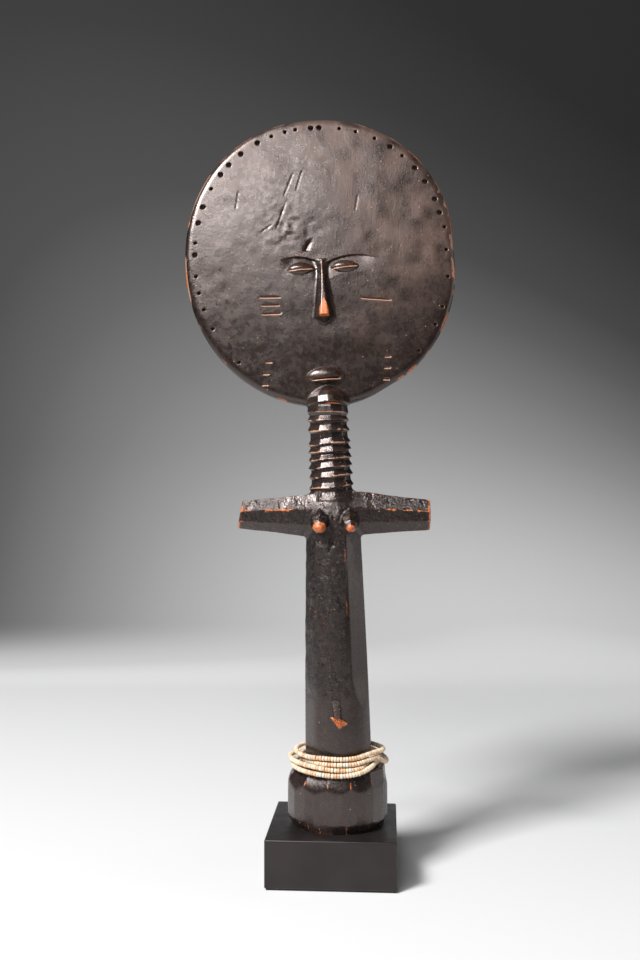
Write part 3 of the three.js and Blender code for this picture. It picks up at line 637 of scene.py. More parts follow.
def head_field(p):
    x, y, z = head_frame(p)
    turn = np.degrees(np.arctan2(x, y))
    rough = knife_traces(p, x, y)
    front = z - face_surface(x, y) - rough
    back = -z - disc_height(x, y) + 0.3 * uneven(p, 9, 9)
    side = np.hypot(x, y) - disc_reach(turn) + 0.12 * uneven(p, 3.5, 10) * ramp(turn, 20, 60)
    worn = ramp(turn, 58, 72) * ramp(turn, 112, 96)
    chamfer = (side + front) * 0.707 + mix(-2.0, 1.25, worn)
    field = meet(meet(front, side, DISC_ROUNDING), meet(back, side, DISC_ROUNDING), 0.1)
    field = meet(field, chamfer, 0.6)
    for index, (hole_x, hole_y, radius) in enumerate(HOLES):
        near = (np.abs(x - hole_x) < 4) & (np.abs(y - hole_y) < 4)
        bore = np.hypot(x[near] - hole_x, y[near] - hole_y) - radius
        if index == len(HOLES) - 1:
            bore = np.maximum(bore, disc_height(hole_x, hole_y) - BLIND_DEPTH - z[near])
        field[near] = meet(field[near], -bore, 0.35)
    field = join(field, nose_field(x, y, z), 0.9)
    return join(field, chin_field(x, y, z), 0.6)


def field_of(p):
    """Distance field of the whole doll, each part worked out only where it can matter."""
    total = np.full(len(p), FAR)

    def add(part, low, high, blend):
        rows = np.flatnonzero((p[:, 2] > low) & (p[:, 2] < high))
        if len(rows):
            total[rows] = join(total[rows], part(p[rows]), blend)

    add(drum_field, -9, 38, 0.5)
    add(body_field, 20, 178, 0.8)
    for arm, facets, seed in zip(ARMS, ARM_SIDES, (11, 12)):
        add(lambda q: arm_field(q, arm, facets, seed), 132, 174, 2.2)
    for breast in BREASTS:
        add(lambda q: breast_field(q, breast), 134, 164, 0.8)
    add(neck_field, 152, 216, 1.6)
    add(head_field, 192, 366, 0.5)
    return total


FIELD_LOW = np.array([-82.0, -32.0, -3.0])
FIELD_HIGH = np.array([68.0, 34.0, 361.0])


# From the field to a mesh

def sample_band(low, high):
    """Field on a regular grid, worked out only in the chunks near the surface."""
    chunks = np.ceil((high - low) / (PITCH * CHUNK)).astype(int)
    index = np.stack(np.meshgrid(*[np.arange(n) for n in chunks], indexing="ij"), -1).reshape(-1, 3)
    rough = field_of(low + (index + 0.5) * CHUNK * PITCH)
    values = rough.reshape(chunks).astype(np.float32)
    for axis in range(3):
        values = np.repeat(values, CHUNK, axis)
    offsets = np.stack(np.meshgrid(*[np.arange(CHUNK)] * 3, indexing="ij"), -1).reshape(-1, 3)
    near = index[np.abs(rough) < BAND]
    batch = 1500
    for start in range(0, len(near), batch):
        corners = near[start:start + batch] * CHUNK
        places = (corners[:, None, :] + offsets[None]).reshape(-1, 3)
        values[tuple(places.T)] = field_of(low + places * PITCH)
    return values


def surface_points(values, low):
    """One point in each grid cell that the surface crosses, and the cells' flat numbers."""
    inside = values < 0
    size = np.array(values.shape) - 1
    count = np.zeros(size, np.uint8)
    for i, j, k in itertools.product((0, 1), repeat=3):
        count += inside[i:i + size[0], j:j + size[1], k:k + size[2]]
    cells = np.argwhere((count > 0) & (count < 8))
    total = np.zeros((len(cells), 3))
    crossings = np.zeros(len(cells))
    for axis in range(3):
        step = np.eye(3, dtype=int)[axis]
        for pair in itertools.product((0, 1), repeat=2):
            start = np.insert(np.array(pair), axis, 0)
            a = values[tuple((cells + start).T)].astype(float)
            b = values[tuple((cells + start + step).T)].astype(float)
            crosses = (a < 0) != (b < 0)
            share = np.where(crosses, a / np.where(crosses, a - b, 1), 0)
            total += np.where(crosses[:, None], start + share[:, None] * step, 0)
            crossings += crosses
    points = low + (cells + total / crossings[:, None]) * PITCH
    return points, np.ravel_multi_index(tuple(cells.T), values.shape)


def surface_quads(values, numbers):
    """Quads round every grid edge that the surface crosses, wound to look outward."""
    inside = values < 0
    quads = []
    for axis in range(3):
        before = [slice(None)] * 3
        after = [slice(None)] * 3
        before[axis] = slice(0, -1)
        after[axis] = slice(1, None)
        low_inside = inside[tuple(before)]
        crosses = low_inside != inside[tuple(after)]
        edges = np.argwhere(crosses)
        outward = low_inside[crosses]
        b, c = (axis + 1) % 3, (axis + 2) % 3
        around = []
        for shift_b, shift_c in ((1, 1), (0, 1), (0, 0), (1, 0)):
            cell = edges.copy()
            cell[:, b] -= shift_b
            cell[:, c] -= shift_c
            around.append(np.searchsorted(numbers, np.ravel_multi_index(tuple(cell.T), values.shape)))
        quad = np.stack(around, -1)
        quad[~outward] = quad[~outward][:, ::-1]
        quads.append(quad)
    return np.concatenate(quads)


def mesh_from_arrays(name, points, faces):
    """Mesh of faces that all have the same number of corners."""
    mesh = bpy.data.meshes.new(name)
    corners = faces.shape[1]
    mesh.vertices.add(len(points))
    mesh.vertices.foreach_set("co", np.asarray(points, np.float32).ravel())
    mesh.loops.add(faces.size)
    mesh.loops.foreach_set("vertex_index", faces.astype(np.int32).ravel())
    mesh.polygons.add(len(faces))
    mesh.polygons.foreach_set("loop_start", np.arange(0, faces.size, corners, dtype=np.int32))
    mesh.update(calc_edges=True)
    mesh.validate()
    return mesh


def add_object(name, mesh):
    piece = bpy.data.objects.new(name, mesh)
    bpy.context.scene.collection.objects.link(piece)
    return piece


def decimated(mesh, triangles):
    """Copy of a mesh thinned to about a number of triangles, most where it is most curved."""
    holder = add_object("holder", mesh)
    modifier = holder.modifiers.new("thin", "DECIMATE")
    modifier.ratio = min(1, triangles / (2 * len(mesh.polygons)))
    modifier.use_collapse_triangulate = True
    shape = holder.evaluated_get(bpy.context.evaluated_depsgraph_get())
    thin = bpy.data.meshes.new_from_object(shape)
    bpy.data.objects.remove(holder)
    return thin


def field_slope(points, reach=0.12):
    slope = np.zeros_like(points)
    for axis in range(3):
        step = np.eye(3)[axis] * reach
        slope[:, axis] = (field_of(points + step) - field_of(points - step)) / (2 * reach)
    return slope


def settle(points, rounds=2):
    """Moves points onto the surface."""
    for _ in range(rounds):
        slope = field_slope(points)
        size = np.maximum((slope ** 2).sum(1), 0.25)
        move = slope * (field_of(points) / size)[:, None]
        length = np.linalg.norm(move, axis=1)[:, None]
        points = points - move * np.minimum(1, 0.25 / np.maximum(length, 1e-9))
    return points


def bulge(points, reach):
    """Above 0 on outward edges, below 0 in hollows, about 1 on a sharp edge."""
    total = np.zeros(len(points))
    directions = [np.array(d, float) for d in itertools.product((-1, 0, 1), repeat=3) if any(d)]
    for direction in directions:
        total += field_of(points + direction / np.linalg.norm(direction) * reach)
    return total / len(directions) / reach * 3.2


def openness(points, normals):
    """1 in the open, towards 0 deep in cuts and corners."""
    total = np.zeros(len(points))
    reaches = (0.8, 1.6, 3.2, 6.0)
    for reach in reaches:
        total += np.clip(field_of(points + normals * reach) / reach, 0, 1)
    return total / len(reaches)


# Wear, from 0 to 1: raw orange wood, and the paler tan of handled crests; the pale lower walls of the face's
# cuts are a painted highlight

def cut_wall_highlight(x, y, line, half, wide):
    """The lower wall of a knife cut, which faces up to the lamps: its pale is a painted highlight."""
    share, above = beside_line(x, y, line)
    along = ramp(share, -0.04, 0.05) * ramp(share, 1.04, 0.95)
    return along * bell(above, -half * 0.8, wide)


def rim_band(x, y, z, width):
    """The disc's edge, in from its outline by a width."""
    turn = np.degrees(np.arctan2(x, y))
    inward = disc_reach(turn) - np.hypot(x, y)
    return ramp(inward, width, width * 0.3) * (np.abs(z) < DISC_HALF_THICK) * ramp(np.abs(x), 13, 16)


def head_raw(p):
    x, y, z = head_frame(p)
    aside = np.abs(x - NOSE_X)
    tip = (z > DISC_HALF_THICK + 3) * ramp(y, NOSE_TIP_Y - 1.2, NOSE_TIP_Y - 0.2)
    raw = tip * ramp(aside, 2.7, 2.1) * ramp(y + aside * 2.2, -19.5, -23.5)
    chin_edge = bell(y, CHIN_LEVELS[0][0] + 0.4, 0.5) * (z > 8) * (p[:, 2] > NECK_COLLAR_Z + 3.6)
    raw = np.maximum(raw, 0.7 * chin_edge * bell(x, 2, 6.5))
    rim = rim_band(x, y, z, 1.5) * np.where(x > 40, 1.0, 0.6)
    return np.maximum(raw, rim * ramp(uneven(p, 5, 21), -0.4, 0.5))


def head_pale(p):
    x, y, z = head_frame(p)
    turn = np.degrees(np.arctan2(x, y))
    front = z > 0
    pale = np.zeros(len(p))
    # Painted highlight: the lower wall of each slit, scar and notch, facing up to the lamps, is painted pale
    for line, half, _ in FACE_CUTS:
        pale = np.maximum(pale, front * cut_wall_highlight(x, y, line, half, 0.36))
    upper = ramp(turn, -128, -110) * ramp(turn, 118, 96)
    pale = np.maximum(pale, 0.7 * upper * rim_band(x, y, z, 1.7) * ramp(uneven(p, 7, 27), -0.7, 0.1))
    worn = ramp(turn, 52, 64) * ramp(turn, 112, 98) * rim_band(x, y, z, 4.2)
    pale = np.maximum(pale, 0.6 * worn * ramp(uneven(p, 2.6, 22), -0.2, 0.35))
    gouge = bell(x, GOUGE[0] + 1.2, 0.9) * bell(y, GOUGE[1], 2.4)
    return np.maximum(pale, front * 0.6 * gouge)


def head_dust(p):
    """The browner, duller parts of the disc."""
    x, y, z = head_frame(p)
    place = ramp(x + 0.35 * y, 2, 38) * ramp(y, -38, 2) + 0.5 * ramp(y - 0.4 * x, 48, 66)
    right_low = 0.5 * bell(x, 26, 16) * bell(y, -32, 12)
    return np.clip((place + right_low) * (0.62 + 0.7 * uneven(p, 6, 28)), 0, 1)


def nub_wear(p, nub, start):
    root = np.array(nub["root"])
    line = np.array(nub["tip"]) - root
    share = (p - root) @ line / (line @ line)
    aside = np.linalg.norm(p - root - share[:, None] * line, axis=1)
    return ramp(share, start, start + 0.06) * (aside < 5)


def trunk_raw(p, sharp):
    """Raw wood below the head: nub tips, arm ends, drum edges and the body's ridge."""
    x, y, z = body_frame(p)
    raw = np.zeros(len(p))
    for breast, start in zip(BREASTS, (0.76, 0.84)):
        raw = np.maximum(raw, nub_wear(p, breast, start) * (p[:, 1] < -14))
    raw = np.maximum(raw, navel_worn(p))
    for arm in ARMS:
        outward = p[:, 0] * math.copysign(1, arm["end_x"])
        beside = np.abs(p[:, 2] - arm["end_z"]) < 12
        rim = ramp(outward - abs(arm["end_x"]), -2.4, -1.0) * beside
        raw = np.maximum(raw, 0.8 * rim * ramp(sharp, 0.12, 0.35) * ramp(uneven(p, 4, 29), -0.8, 0.0))
        edge = ramp(outward / abs(arm["end_x"]), 0.3, 0.5) * ramp(sharp, 0.05, 0.12) * (y < -3)
        edge = edge * bell(p[:, 2] - arm["end_z"], 3.0, 2.0) * beside
        raw = np.maximum(raw, 0.9 * edge * ramp(uneven(p, 4, 23), -0.6, 0.1))
    drum = ramp(sharp, 0.12, 0.3) * (p[:, 2] < DRUM_SHOULDER + 2.5)
    level = np.maximum(bell(p[:, 2], DRUM_SHOULDER, 2.2), bell(p[:, 2], DRUM_UNDER_CUT, 2.4))
    streak = 0.75 * ramp(uneven(p * np.array([1, 1, 0.45]), 3, 24), -0.1, 0.4)
    raw = np.maximum(raw, drum * np.maximum(level, streak) * ramp(uneven(p, 5, 30), -1.0, -0.3))
    turn = np.degrees(np.arctan2(x, -y))
    ridge = bell(turn, 23, 2.6) * ramp(z, 72, 90) * ramp(z, 148, 140)
    return np.maximum(raw, 0.6 * ridge * ramp(uneven(p * np.array([1, 1, 0.3]), 4, 26), -0.1, 0.5))


def trunk_pale(p, sharp):
    """Handled crests of the neck's rings, and the worn edges at the end of the right arm."""
    crest = ramp(sharp, 0.10, 0.32) * ramp(p[:, 2], 163, 166) * ramp(p[:, 2], 208, 206)
    pale = crest * ramp(uneven(p, 3.5, 25), -0.5, 0.2)
    end = ramp(np.abs(p[:, 0] - 0.6), 44, 46) * ramp(sharp, 0.1, 0.3) * (p[:, 0] > 0)
    return np.maximum(pale, 0.7 * end * (p[:, 2] > 140) * (p[:, 2] < 170))


def set_attribute(mesh, name, values):
    attribute = mesh.attributes.new(name, "FLOAT", "POINT")
    attribute.data.foreach_set("value", np.asarray(values, np.float32))


def make_doll():
    values = sample_band(FIELD_LOW, FIELD_HIGH)
    points, numbers = surface_points(values, FIELD_LOW)
    quads = surface_quads(values, numbers)
    del values
    mesh = decimated(mesh_from_arrays("fine", points, quads), TRIANGLES)
    flat = np.zeros(len(mesh.vertices) * 3)
    mesh.vertices.foreach_get("co", flat)
    points = settle(flat.reshape(-1, 3))
    points[:, 2] = np.maximum(points[:, 2], 0)
    slope = field_slope(points)
    normals = slope / np.maximum(np.linalg.norm(slope, axis=1), 1e-6)[:, None]
    sharp = bulge(points, 0.7)
    in_head = points[:, 2] > 204
    raw = np.where(in_head, head_raw(points), trunk_raw(points, sharp))
    pale = np.where(in_head, head_pale(points), trunk_pale(points, sharp))
    mesh.vertices.foreach_set("co", ((points + [0, 0, BLOCK_HEIGHT]) * MM).astype(np.float32).ravel())
    mesh.update()
    set_attribute(mesh, "sharp", sharp)
    set_attribute(mesh, "open", openness(points, normals))
    set_attribute(mesh, "raw", raw)
    set_attribute(mesh, "pale", pale)
    set_attribute(mesh, "dust", head_dust(points) * in_head)
    set_attribute(mesh, "crust", crust_cover(points) * (points[:, 2] < 168))
    set_attribute(mesh, "head", ramp(points[:, 2], 204, 208))
    mesh.polygons.foreach_set("use_smooth", np.ones(len(mesh.polygons), bool))
    mesh.normals_split_custom_set_from_vertices(normals.tolist())
    return add_object("carved_doll", mesh)


# Block

def make_block():
    """Block with rounded edges and a shallow rebate at its foot."""
    levels = [
        (0, REBATE_INSET), (REBATE_HEIGHT, REBATE_INSET), (REBATE_HEIGHT, BLOCK_BEVEL / 2),
        (REBATE_HEIGHT + BLOCK_BEVEL / 2, 0),
    ]
    rounding = [math.radians(angle) for angle in (0, 22.5, 45, 67.5, 90)]
    spread = np.linspace(REBATE_HEIGHT + 2, BLOCK_HEIGHT - BLOCK_BEVEL - 1, 8)
    levels += [(z, 0) for z in spread]
    for angle in rounding:
        inset = BLOCK_BEVEL * (1 - math.cos(angle))
        levels.append((BLOCK_HEIGHT - BLOCK_BEVEL * (1 - math.sin(angle)), inset))
    corner_steps = [math.radians(angle) for angle in (0, 22.5, 45, 67.5, 90)]
    mesh = bpy.data.meshes.new("block")
    shape = bmesh.new()
    rings = []
    for z, inset in levels:
        ring = []
        for quarter in range(4):
            signs = ((1, -1), (1, 1), (-1, 1), (-1, -1))[quarter]
            for angle in corner_steps:
                turn = angle + quarter * math.pi / 2 - math.pi / 2
                x = signs[0] * (BLOCK_WIDTH / 2 - BLOCK_BEVEL) + math.cos(turn) * (BLOCK_BEVEL - inset)
                y = signs[1] * (BLOCK_DEPTH / 2 - BLOCK_BEVEL) + math.sin(turn) * (BLOCK_BEVEL - inset)
                ring.append(shape.verts.new((x * MM, y * MM, z * MM)))
        rings.append(ring)
    for low, high in zip(rings, rings[1:]):
        for a in range(len(low)):
            b = (a + 1) % len(low)
            shape.faces.new((low[a], low[b], high[b], high[a]))
    shape.faces.new(list(reversed(rings[0])))
    shape.faces.new(rings[-1])
    bmesh.ops.rotate(shape, verts=shape.verts, cent=(0, 0, 0),
                     matrix=Matrix.Rotation(math.radians(BLOCK_TURN), 3, "Z"))
    bmesh.ops.triangulate(shape, faces=[face for face in shape.faces if len(face.verts) > 4])
    shape.to_mesh(mesh)
    shape.free()
    for face in mesh.polygons:
        face.use_smooth = True
    mesh.set_sharp_from_angle(angle=math.radians(40))
    return add_object("black_block", mesh)


# Beads

def strand_point(knots, turn):
    """Point on a strand's route, smoothly between its listed places."""
    angles = np.array([knot[0] for knot in knots], float)
    turn = turn % 360
    index = int(np.searchsorted(angles, turn, side="right")) - 1
    picked = []
    for step in (-1, 0, 1, 2):
        laps, place = divmod(index + step, len(knots))
        angle, radius, height = knots[place]
        picked.append((angle + 360 * laps, radius, height))
    before, start, end, after = [np.array(knot, float) for knot in picked]
    span = end[0] - start[0]
    t = (turn - start[0]) / span
    slope_start = (end - before)[1:] / (end[0] - before[0]) * span
    slope_end = (after - start)[1:] / (after[0] - start[0]) * span
    cube = 2 * (start - end)[1:] + slope_start + slope_end
    square = 3 * (end - start)[1:] - 2 * slope_start - slope_end
    radius, height = ((cube * t + square) * t + slope_start) * t + start[1:]
    angle = math.radians(turn)
    return np.array([STRAND_X + radius * math.sin(angle), -radius * math.cos(angle), height + BLOCK_HEIGHT])


def strand_route(knots, steps=720):
    """Closed route of a strand and the length run at each of its points."""
    route = np.array([strand_point(knots, 360 * index / steps) for index in range(steps + 1)])
    run = np.append(0, np.cumsum(np.linalg.norm(np.diff(route, axis=0), axis=1)))
    return route, run


def bead_shape(sides=16, steps=12):
    """Ring of round-shouldered section about the x axis, and its quads."""
    section = np.arange(steps) / steps * 2 * math.pi
    thick = (BEAD_RADIUS - BEAD_HOLE_RADIUS) / 2
    along = BEAD_HALF_LENGTH * np.sign(np.cos(section)) * np.abs(np.cos(section))
    radius = BEAD_RADIUS - thick + thick * np.sign(np.sin(section)) * np.abs(np.sin(section)) ** 0.9
    around = np.arange(sides) / sides * 2 * math.pi
    points = np.stack([
        np.repeat(along, sides),
        np.outer(radius, np.cos(around)).ravel(),
        np.outer(radius, np.sin(around)).ravel(),
    ], -1)
    quads = []
    for step in range(steps):
        for side in range(sides):
            after, beside = (step + 1) % steps, (side + 1) % sides
            here, there = step * sides, after * sides
            quads.append((here + side, here + beside, there + beside, there + side))
    return points, np.array(quads)


def frame_along(direction):
    """Axes with the first along a direction."""
    first = direction / np.linalg.norm(direction)
    second = np.cross([0, 0, 1.0], first)
    second /= np.linalg.norm(second)
    return np.stack([first, second, np.cross(first, second)])


def make_strand(knots, number):
    """Beads strung along one route, each a little off in place, tilt and size."""
    chance = np.random.default_rng(70 + number)
    route, run = strand_route(knots)
    count = round(run[-1] / BEAD_PITCH)
    shape, quads = bead_shape()
    points, faces, tones = [], [], []
    for bead in range(count):
        place = (bead + chance.uniform(-0.06, 0.06)) / count * run[-1]
        nearby = [(place + step) % run[-1] for step in (-0.5, 0.5)]
        ahead = [np.interp(where, run, route[:, axis]) for where in nearby for axis in range(3)]
        axes = frame_along(np.array(ahead[3:]) - np.array(ahead[:3]))
        tilt = chance.normal(0, 0.05, 3)
        axes = frame_along(axes[0] + tilt[1] * axes[1] + tilt[2] * axes[2])
        length = chance.uniform(0.92, 1.05)
        width = chance.uniform(0.94, 1.03)
        scale = np.array([length, width, width])
        middle = np.array([np.interp(place % run[-1], run, route[:, axis]) for axis in range(3)])
        faces.append(quads + len(points) * len(shape))
        points.append((shape * scale) @ axes + middle)
        tones.append(np.full(len(shape), chance.uniform(0, 1)))
    mesh = mesh_from_arrays("beads", np.concatenate(points) * MM, np.concatenate(faces))
    set_attribute(mesh, "tone", np.concatenate(tones))
    mesh.polygons.foreach_set("use_smooth", np.ones(len(mesh.polygons), bool))
    return add_object(f"glass_beads_{number}", mesh)


# Materials

class Graph:
    """Node graph of one material."""

    def __init__(self, name):
        self.material = bpy.data.materials.new(name)
        self.material.use_nodes = True
        self.tree = self.material.node_tree
        self.shader = self.tree.nodes["Principled BSDF"]

    def node(self, kind, settings=None, inputs=None):
        made = self.tree.nodes.new(kind)
        for key, value in (settings or {}).items():
            setattr(made, key, value)
        for key, value in (inputs or {}).items():
            self.feed(made.inputs[key], value)
        return made

    def feed(self, socket, value):
        if isinstance(value, bpy.types.NodeSocket):
            self.tree.links.new(value, socket)
        else:
            socket.default_value = value

    def set(self, name, value):
        self.feed(self.shader.inputs[name], value)

    def place(self, stretch=(1, 1, 1)):
        """Object coordinates in millimetres, squeezed along each axis by the stretch."""
        coordinates = self.node("ShaderNodeTexCoord").outputs["Object"]
        scale = [1 / (MM * value) for value in stretch]
        scaled = self.node("ShaderNodeVectorMath", {"operation": "MULTIPLY"}, {0: coordinates, 1: scale})
        return scaled.outputs["Vector"]

    def attribute(self, name):
        return self.node("ShaderNodeAttribute", {"attribute_name": name}).outputs["Fac"]

    def noise(self, size, detail=3.0, roughness=0.5, stretch=(1, 1, 1)):
        """Noise whose bumps are about a size in millimetres."""
        inputs = {"Vector": self.place(stretch), "Scale": 1 / size, "Detail": detail, "Roughness": roughness}
        return self.node("ShaderNodeTexNoise", None, inputs).outputs["Fac"]

    def spots(self, size, radius, share):
        """Round spots of a radius in cells of a size, in only a share of the cells."""
        settings = {"feature": "F1"}
        cell = self.node("ShaderNodeTexVoronoi", settings, {"Vector": self.place(), "Scale": 1 / size})
        near = self.between(cell.outputs["Distance"], radius / size, 0.6 * radius / size)
        chance = self.node("ShaderNodeSeparateColor", None, {"Color": cell.outputs["Color"]}).outputs["Red"]
        return self.math("MULTIPLY", near, self.math("LESS_THAN", chance, share))

    def between(self, value, low, high, start=0.0, end=1.0):
        inputs = {"Value": value, "From Min": low, "From Max": high, "To Min": start, "To Max": end}
        return self.node("ShaderNodeMapRange", {"interpolation_type": "SMOOTHSTEP"}, inputs).outputs["Result"]

    def math(self, operation, a, b=0.0):
        return self.node("ShaderNodeMath", {"operation": operation}, {0: a, 1: b}).outputs["Value"]

    def blend(self, share, a, b):
        """Colour a, turning to colour b where the share is 1."""
        made = self.node("ShaderNodeMix", {"data_type": "RGBA"})
        self.feed(made.inputs["Factor"], share)
        colours = [socket for socket in made.inputs if socket.type == "RGBA"]
        self.feed(colours[0], a)
        self.feed(colours[1], b)
        return next(socket for socket in made.outputs if socket.type == "RGBA")

    def bump(self, height, depth, normal=None):
        """Surface raised by a height from 0 to 1 times a depth in millimetres."""
        inputs = {"Height": height, "Distance": depth * MM, "Strength": 1.0}
        if normal is not None:
            inputs["Normal"] = normal
        return self.node("ShaderNodeBump", None, inputs).outputs["Normal"]


def colour(red, green, blue):
    return (red, green, blue, 1.0)


def wood_material():
    g = Graph("carved_wood")
    raw, pale, dust = g.attribute("raw"), g.attribute("pale"), g.attribute("dust")
    crust, head, exposed = g.attribute("crust"), g.attribute("head"), g.attribute("open")
    sharp = g.attribute("sharp")

    broad = g.between(g.noise(12, 4, 0.6), 0.36, 0.64)
    fine = g.noise(0.8, 4, 0.62)
    fibre = g.noise(1.2, 3, 0.55, (1, 1, 16))
    body = g.blend(broad, colour(0.011, 0.0075, 0.0068), colour(0.021, 0.0145, 0.013))
    disc = g.blend(broad, colour(0.010, 0.0062, 0.0052), colour(0.019, 0.0115, 0.009))
    base = g.blend(head, body, disc)
    base = g.blend(g.math("MULTIPLY", dust, 0.8), base, colour(0.105, 0.063, 0.050))
    base = g.blend(g.between(fibre, 0.54, 0.74, 0, 0.3), base, colour(0.055, 0.028, 0.018))
    base = g.blend(g.between(fine, 0.56, 0.74, 0, 0.4), base, colour(0.10, 0.055, 0.036))
    base = g.blend(g.between(fine, 0.48, 0.30, 0, 0.6), base, colour(0.003, 0.002, 0.0018))

    flecks = g.noise(1.2, 4, 0.65, (1, 1, 2.4))
    crusted = g.math("MULTIPLY", crust, g.between(g.noise(5, 3, 0.6, (1, 1, 2.5)), 0.34, 0.46))
    tar = g.blend(g.between(flecks, 0.55, 0.66), colour(0.0035, 0.0026, 0.0024), colour(0.035, 0.018, 0.011))
    tar = g.blend(g.between(flecks, 0.68, 0.74), tar, colour(0.22, 0.10, 0.048))
    base = g.blend(crusted, base, tar)

    # Painted shade: the colour turns near black deep in cuts and corners, where the wood is least open
    hollow_shade = g.between(exposed, 0.72, 0.30)
    base = g.blend(g.math("MULTIPLY", hollow_shade, 0.9), base, colour(0.0025, 0.0018, 0.0015))
    broken = g.noise(0.9, 4, 0.6)
    edge = g.math("MULTIPLY", g.between(sharp, 0.08, 0.36), g.between(broken, 0.42, 0.60))
    base = g.blend(g.math("MULTIPLY", edge, 0.5), base, colour(0.13, 0.038, 0.012))
    # Pale tan of worn crests and rims, and a painted highlight on the lower walls of the face's cuts
    tan = g.between(g.math("ADD", pale, g.math("MULTIPLY", broken, 0.6)), 0.66, 0.95)
    base = g.blend(tan, base, colour(0.42, 0.235, 0.155))
    orange = g.between(g.math("ADD", raw, g.math("MULTIPLY", broken, 0.6)), 0.70, 0.88)
    shades = g.blend(g.between(broken, 0.35, 0.65), colour(0.36, 0.065, 0.010), colour(0.66, 0.19, 0.045))
    base = g.blend(orange, base, shades)
    specks = g.math("MULTIPLY", g.spots(2.4, 0.34, 0.2), 0.85)
    base = g.blend(specks, base, colour(0.50, 0.27, 0.12))
    g.set("Base Color", base)

    rough = g.between(g.noise(2.6, 3, 0.6), 0.3, 0.7, 0.21, 0.33)
    rough = g.math("ADD", rough, g.math("MULTIPLY", hollow_shade, 0.4))
    rough = g.math("ADD", rough, g.math("MULTIPLY", dust, 0.10))
    g.set("Roughness", g.math("ADD", rough, g.math("MULTIPLY", orange, 0.12)))
    g.shader.inputs["Specular IOR Level"].default_value = 0.9
    g.shader.inputs["Specular Tint"].default_value = colour(1.0, 0.86, 0.82)

    skin = g.math("ADD", g.noise(0.75, 4, 0.6), g.math("MULTIPLY", g.noise(2.2, 3, 0.5), 0.9))
    normal = g.bump(skin, 0.07)
    lumps = g.math("MULTIPLY", crusted, g.noise(1.0, 4, 0.7, (1, 1, 1.8)))
    normal = g.bump(lumps, 0.5, normal)
    normal = g.bump(g.noise(0.9, 2, 0.5, (1, 1, 18)), 0.03, normal)
    g.set("Normal", normal)
    return g.material


def block_material():
    g = Graph("black_wood")
    cloud = g.noise(18, 3, 0.5)
    base = g.blend(g.between(cloud, 0.3, 0.7), colour(0.010, 0.0085, 0.0085), colour(0.016, 0.0135, 0.0135))
    dust = g.math("MULTIPLY", g.spots(5.5, 0.22, 0.28), g.between(g.noise(12, 2, 0.5), 0.45, 0.6))
    base = g.blend(g.math("MULTIPLY", dust, 0.5), base, colour(0.35, 0.33, 0.32))
    g.set("Base Color", base)
    g.shader.inputs["Specular Tint"].default_value = colour(1.0, 0.86, 0.86)
    g.set("Roughness", g.between(g.noise(6, 4, 0.6), 0.3, 0.7, 0.34, 0.46))
    grain = g.noise(0.7, 3, 0.5, (9, 1, 1))
    normal = g.bump(grain, 0.02)
    g.set("Normal", g.bump(g.noise(22, 2, 0.5), 0.12, normal))
    return g.material


def bead_material():
    g = Graph("cream_glass")
    tone = g.attribute("tone")
    base = g.blend(g.between(tone, 0.0, 0.7), colour(0.66, 0.42, 0.25), colour(0.82, 0.65, 0.48))
    base = g.blend(g.between(tone, 0.86, 0.98), base, colour(0.66, 0.62, 0.55))
    grime = g.between(g.noise(0.8, 3, 0.6), 0.55, 0.75, 0, 0.45)
    base = g.blend(grime, base, colour(0.36, 0.22, 0.13))
    g.set("Base Color", base)
    g.set("Roughness", g.between(g.noise(0.6, 2, 0.5), 0.3, 0.7, 0.16, 0.34))
    g.shader.inputs["Subsurface Weight"].default_value = 0.25
    g.shader.inputs["Subsurface Radius"].default_value = (0.9, 0.45, 0.25)
    g.shader.inputs["Subsurface Scale"].default_value = 0.001
    g.set("Normal", g.bump(g.noise(0.5, 2, 0.5), 0.03))
    return g.material


# Grey of the stage, a painted falloff of light: by the height above the floor in metres, or by how far aside
# a place lies
STAGE_GREYS = [
    (0.0, 0.70), (0.05, 0.52), (0.124, 0.43), (0.203, 0.33), (0.286, 0.235), (0.374, 0.155),
    (0.467, 0.093), (0.563, 0.055), (0.769, 0.031), (0.993, 0.02),
]
# The painted patch of light on the wall lies at WALL_MIDDLE at the floor and moves left with height
WALL_MIDDLE = 0.25
WALL_LEAN = -0.716
WALL_SPREAD = 1.15
BEND_START = 0.5
BEND_RADIUS = 0.25
# Painted pool of light: round the doll the floor is palest, and greyer from POOL_RADIUS outward
POOL_RADIUS = 0.3
POOL_EDGE = 0.6


def stage_material():
    """Pale floor running up into a wall, with painted light: greyer with height and to the sides, palest
    round the doll.
    """
    g = Graph("pale_sweep")
    place = g.node("ShaderNodeTexCoord").outputs["Object"]
    parts = g.node("ShaderNodeSeparateXYZ", None, {"Vector": place}).outputs
    middle = g.math("ADD", g.math("MULTIPLY", parts["Z"], WALL_LEAN), WALL_MIDDLE)
    aside = g.math("SUBTRACT", parts["X"], middle)
    spread = g.math("MULTIPLY", g.math("MULTIPLY", aside, aside), WALL_SPREAD)
    spread = g.math("MULTIPLY", spread, g.between(parts["Z"], 0, 0.05))
    reach = g.node("ShaderNodeVectorMath", {"operation": "LENGTH"}, {0: place}).outputs["Value"]
    outward = g.math("MAXIMUM", g.math("SUBTRACT", reach, POOL_RADIUS), 0.0)
    outward = g.math("MULTIPLY", g.math("MULTIPLY", outward, POOL_EDGE), g.between(parts["Y"], 0.2, -0.1))
    amount = g.math("ADD", g.math("ADD", parts["Z"], spread), outward)
    curve = g.node("ShaderNodeValToRGB", None, {"Fac": amount})
    stops = curve.color_ramp.elements
    while len(stops) < len(STAGE_GREYS):
        stops.new(1.0)
    for stop, (position, grey) in zip(stops, STAGE_GREYS):
        stop.position = position
        stop.color = colour(grey, grey, grey)
    g.set("Base Color", curve.outputs["Color"])
    g.shader.inputs["Roughness"].default_value = 0.9
    g.shader.inputs["Specular IOR Level"].default_value = 0.1
    return g.material


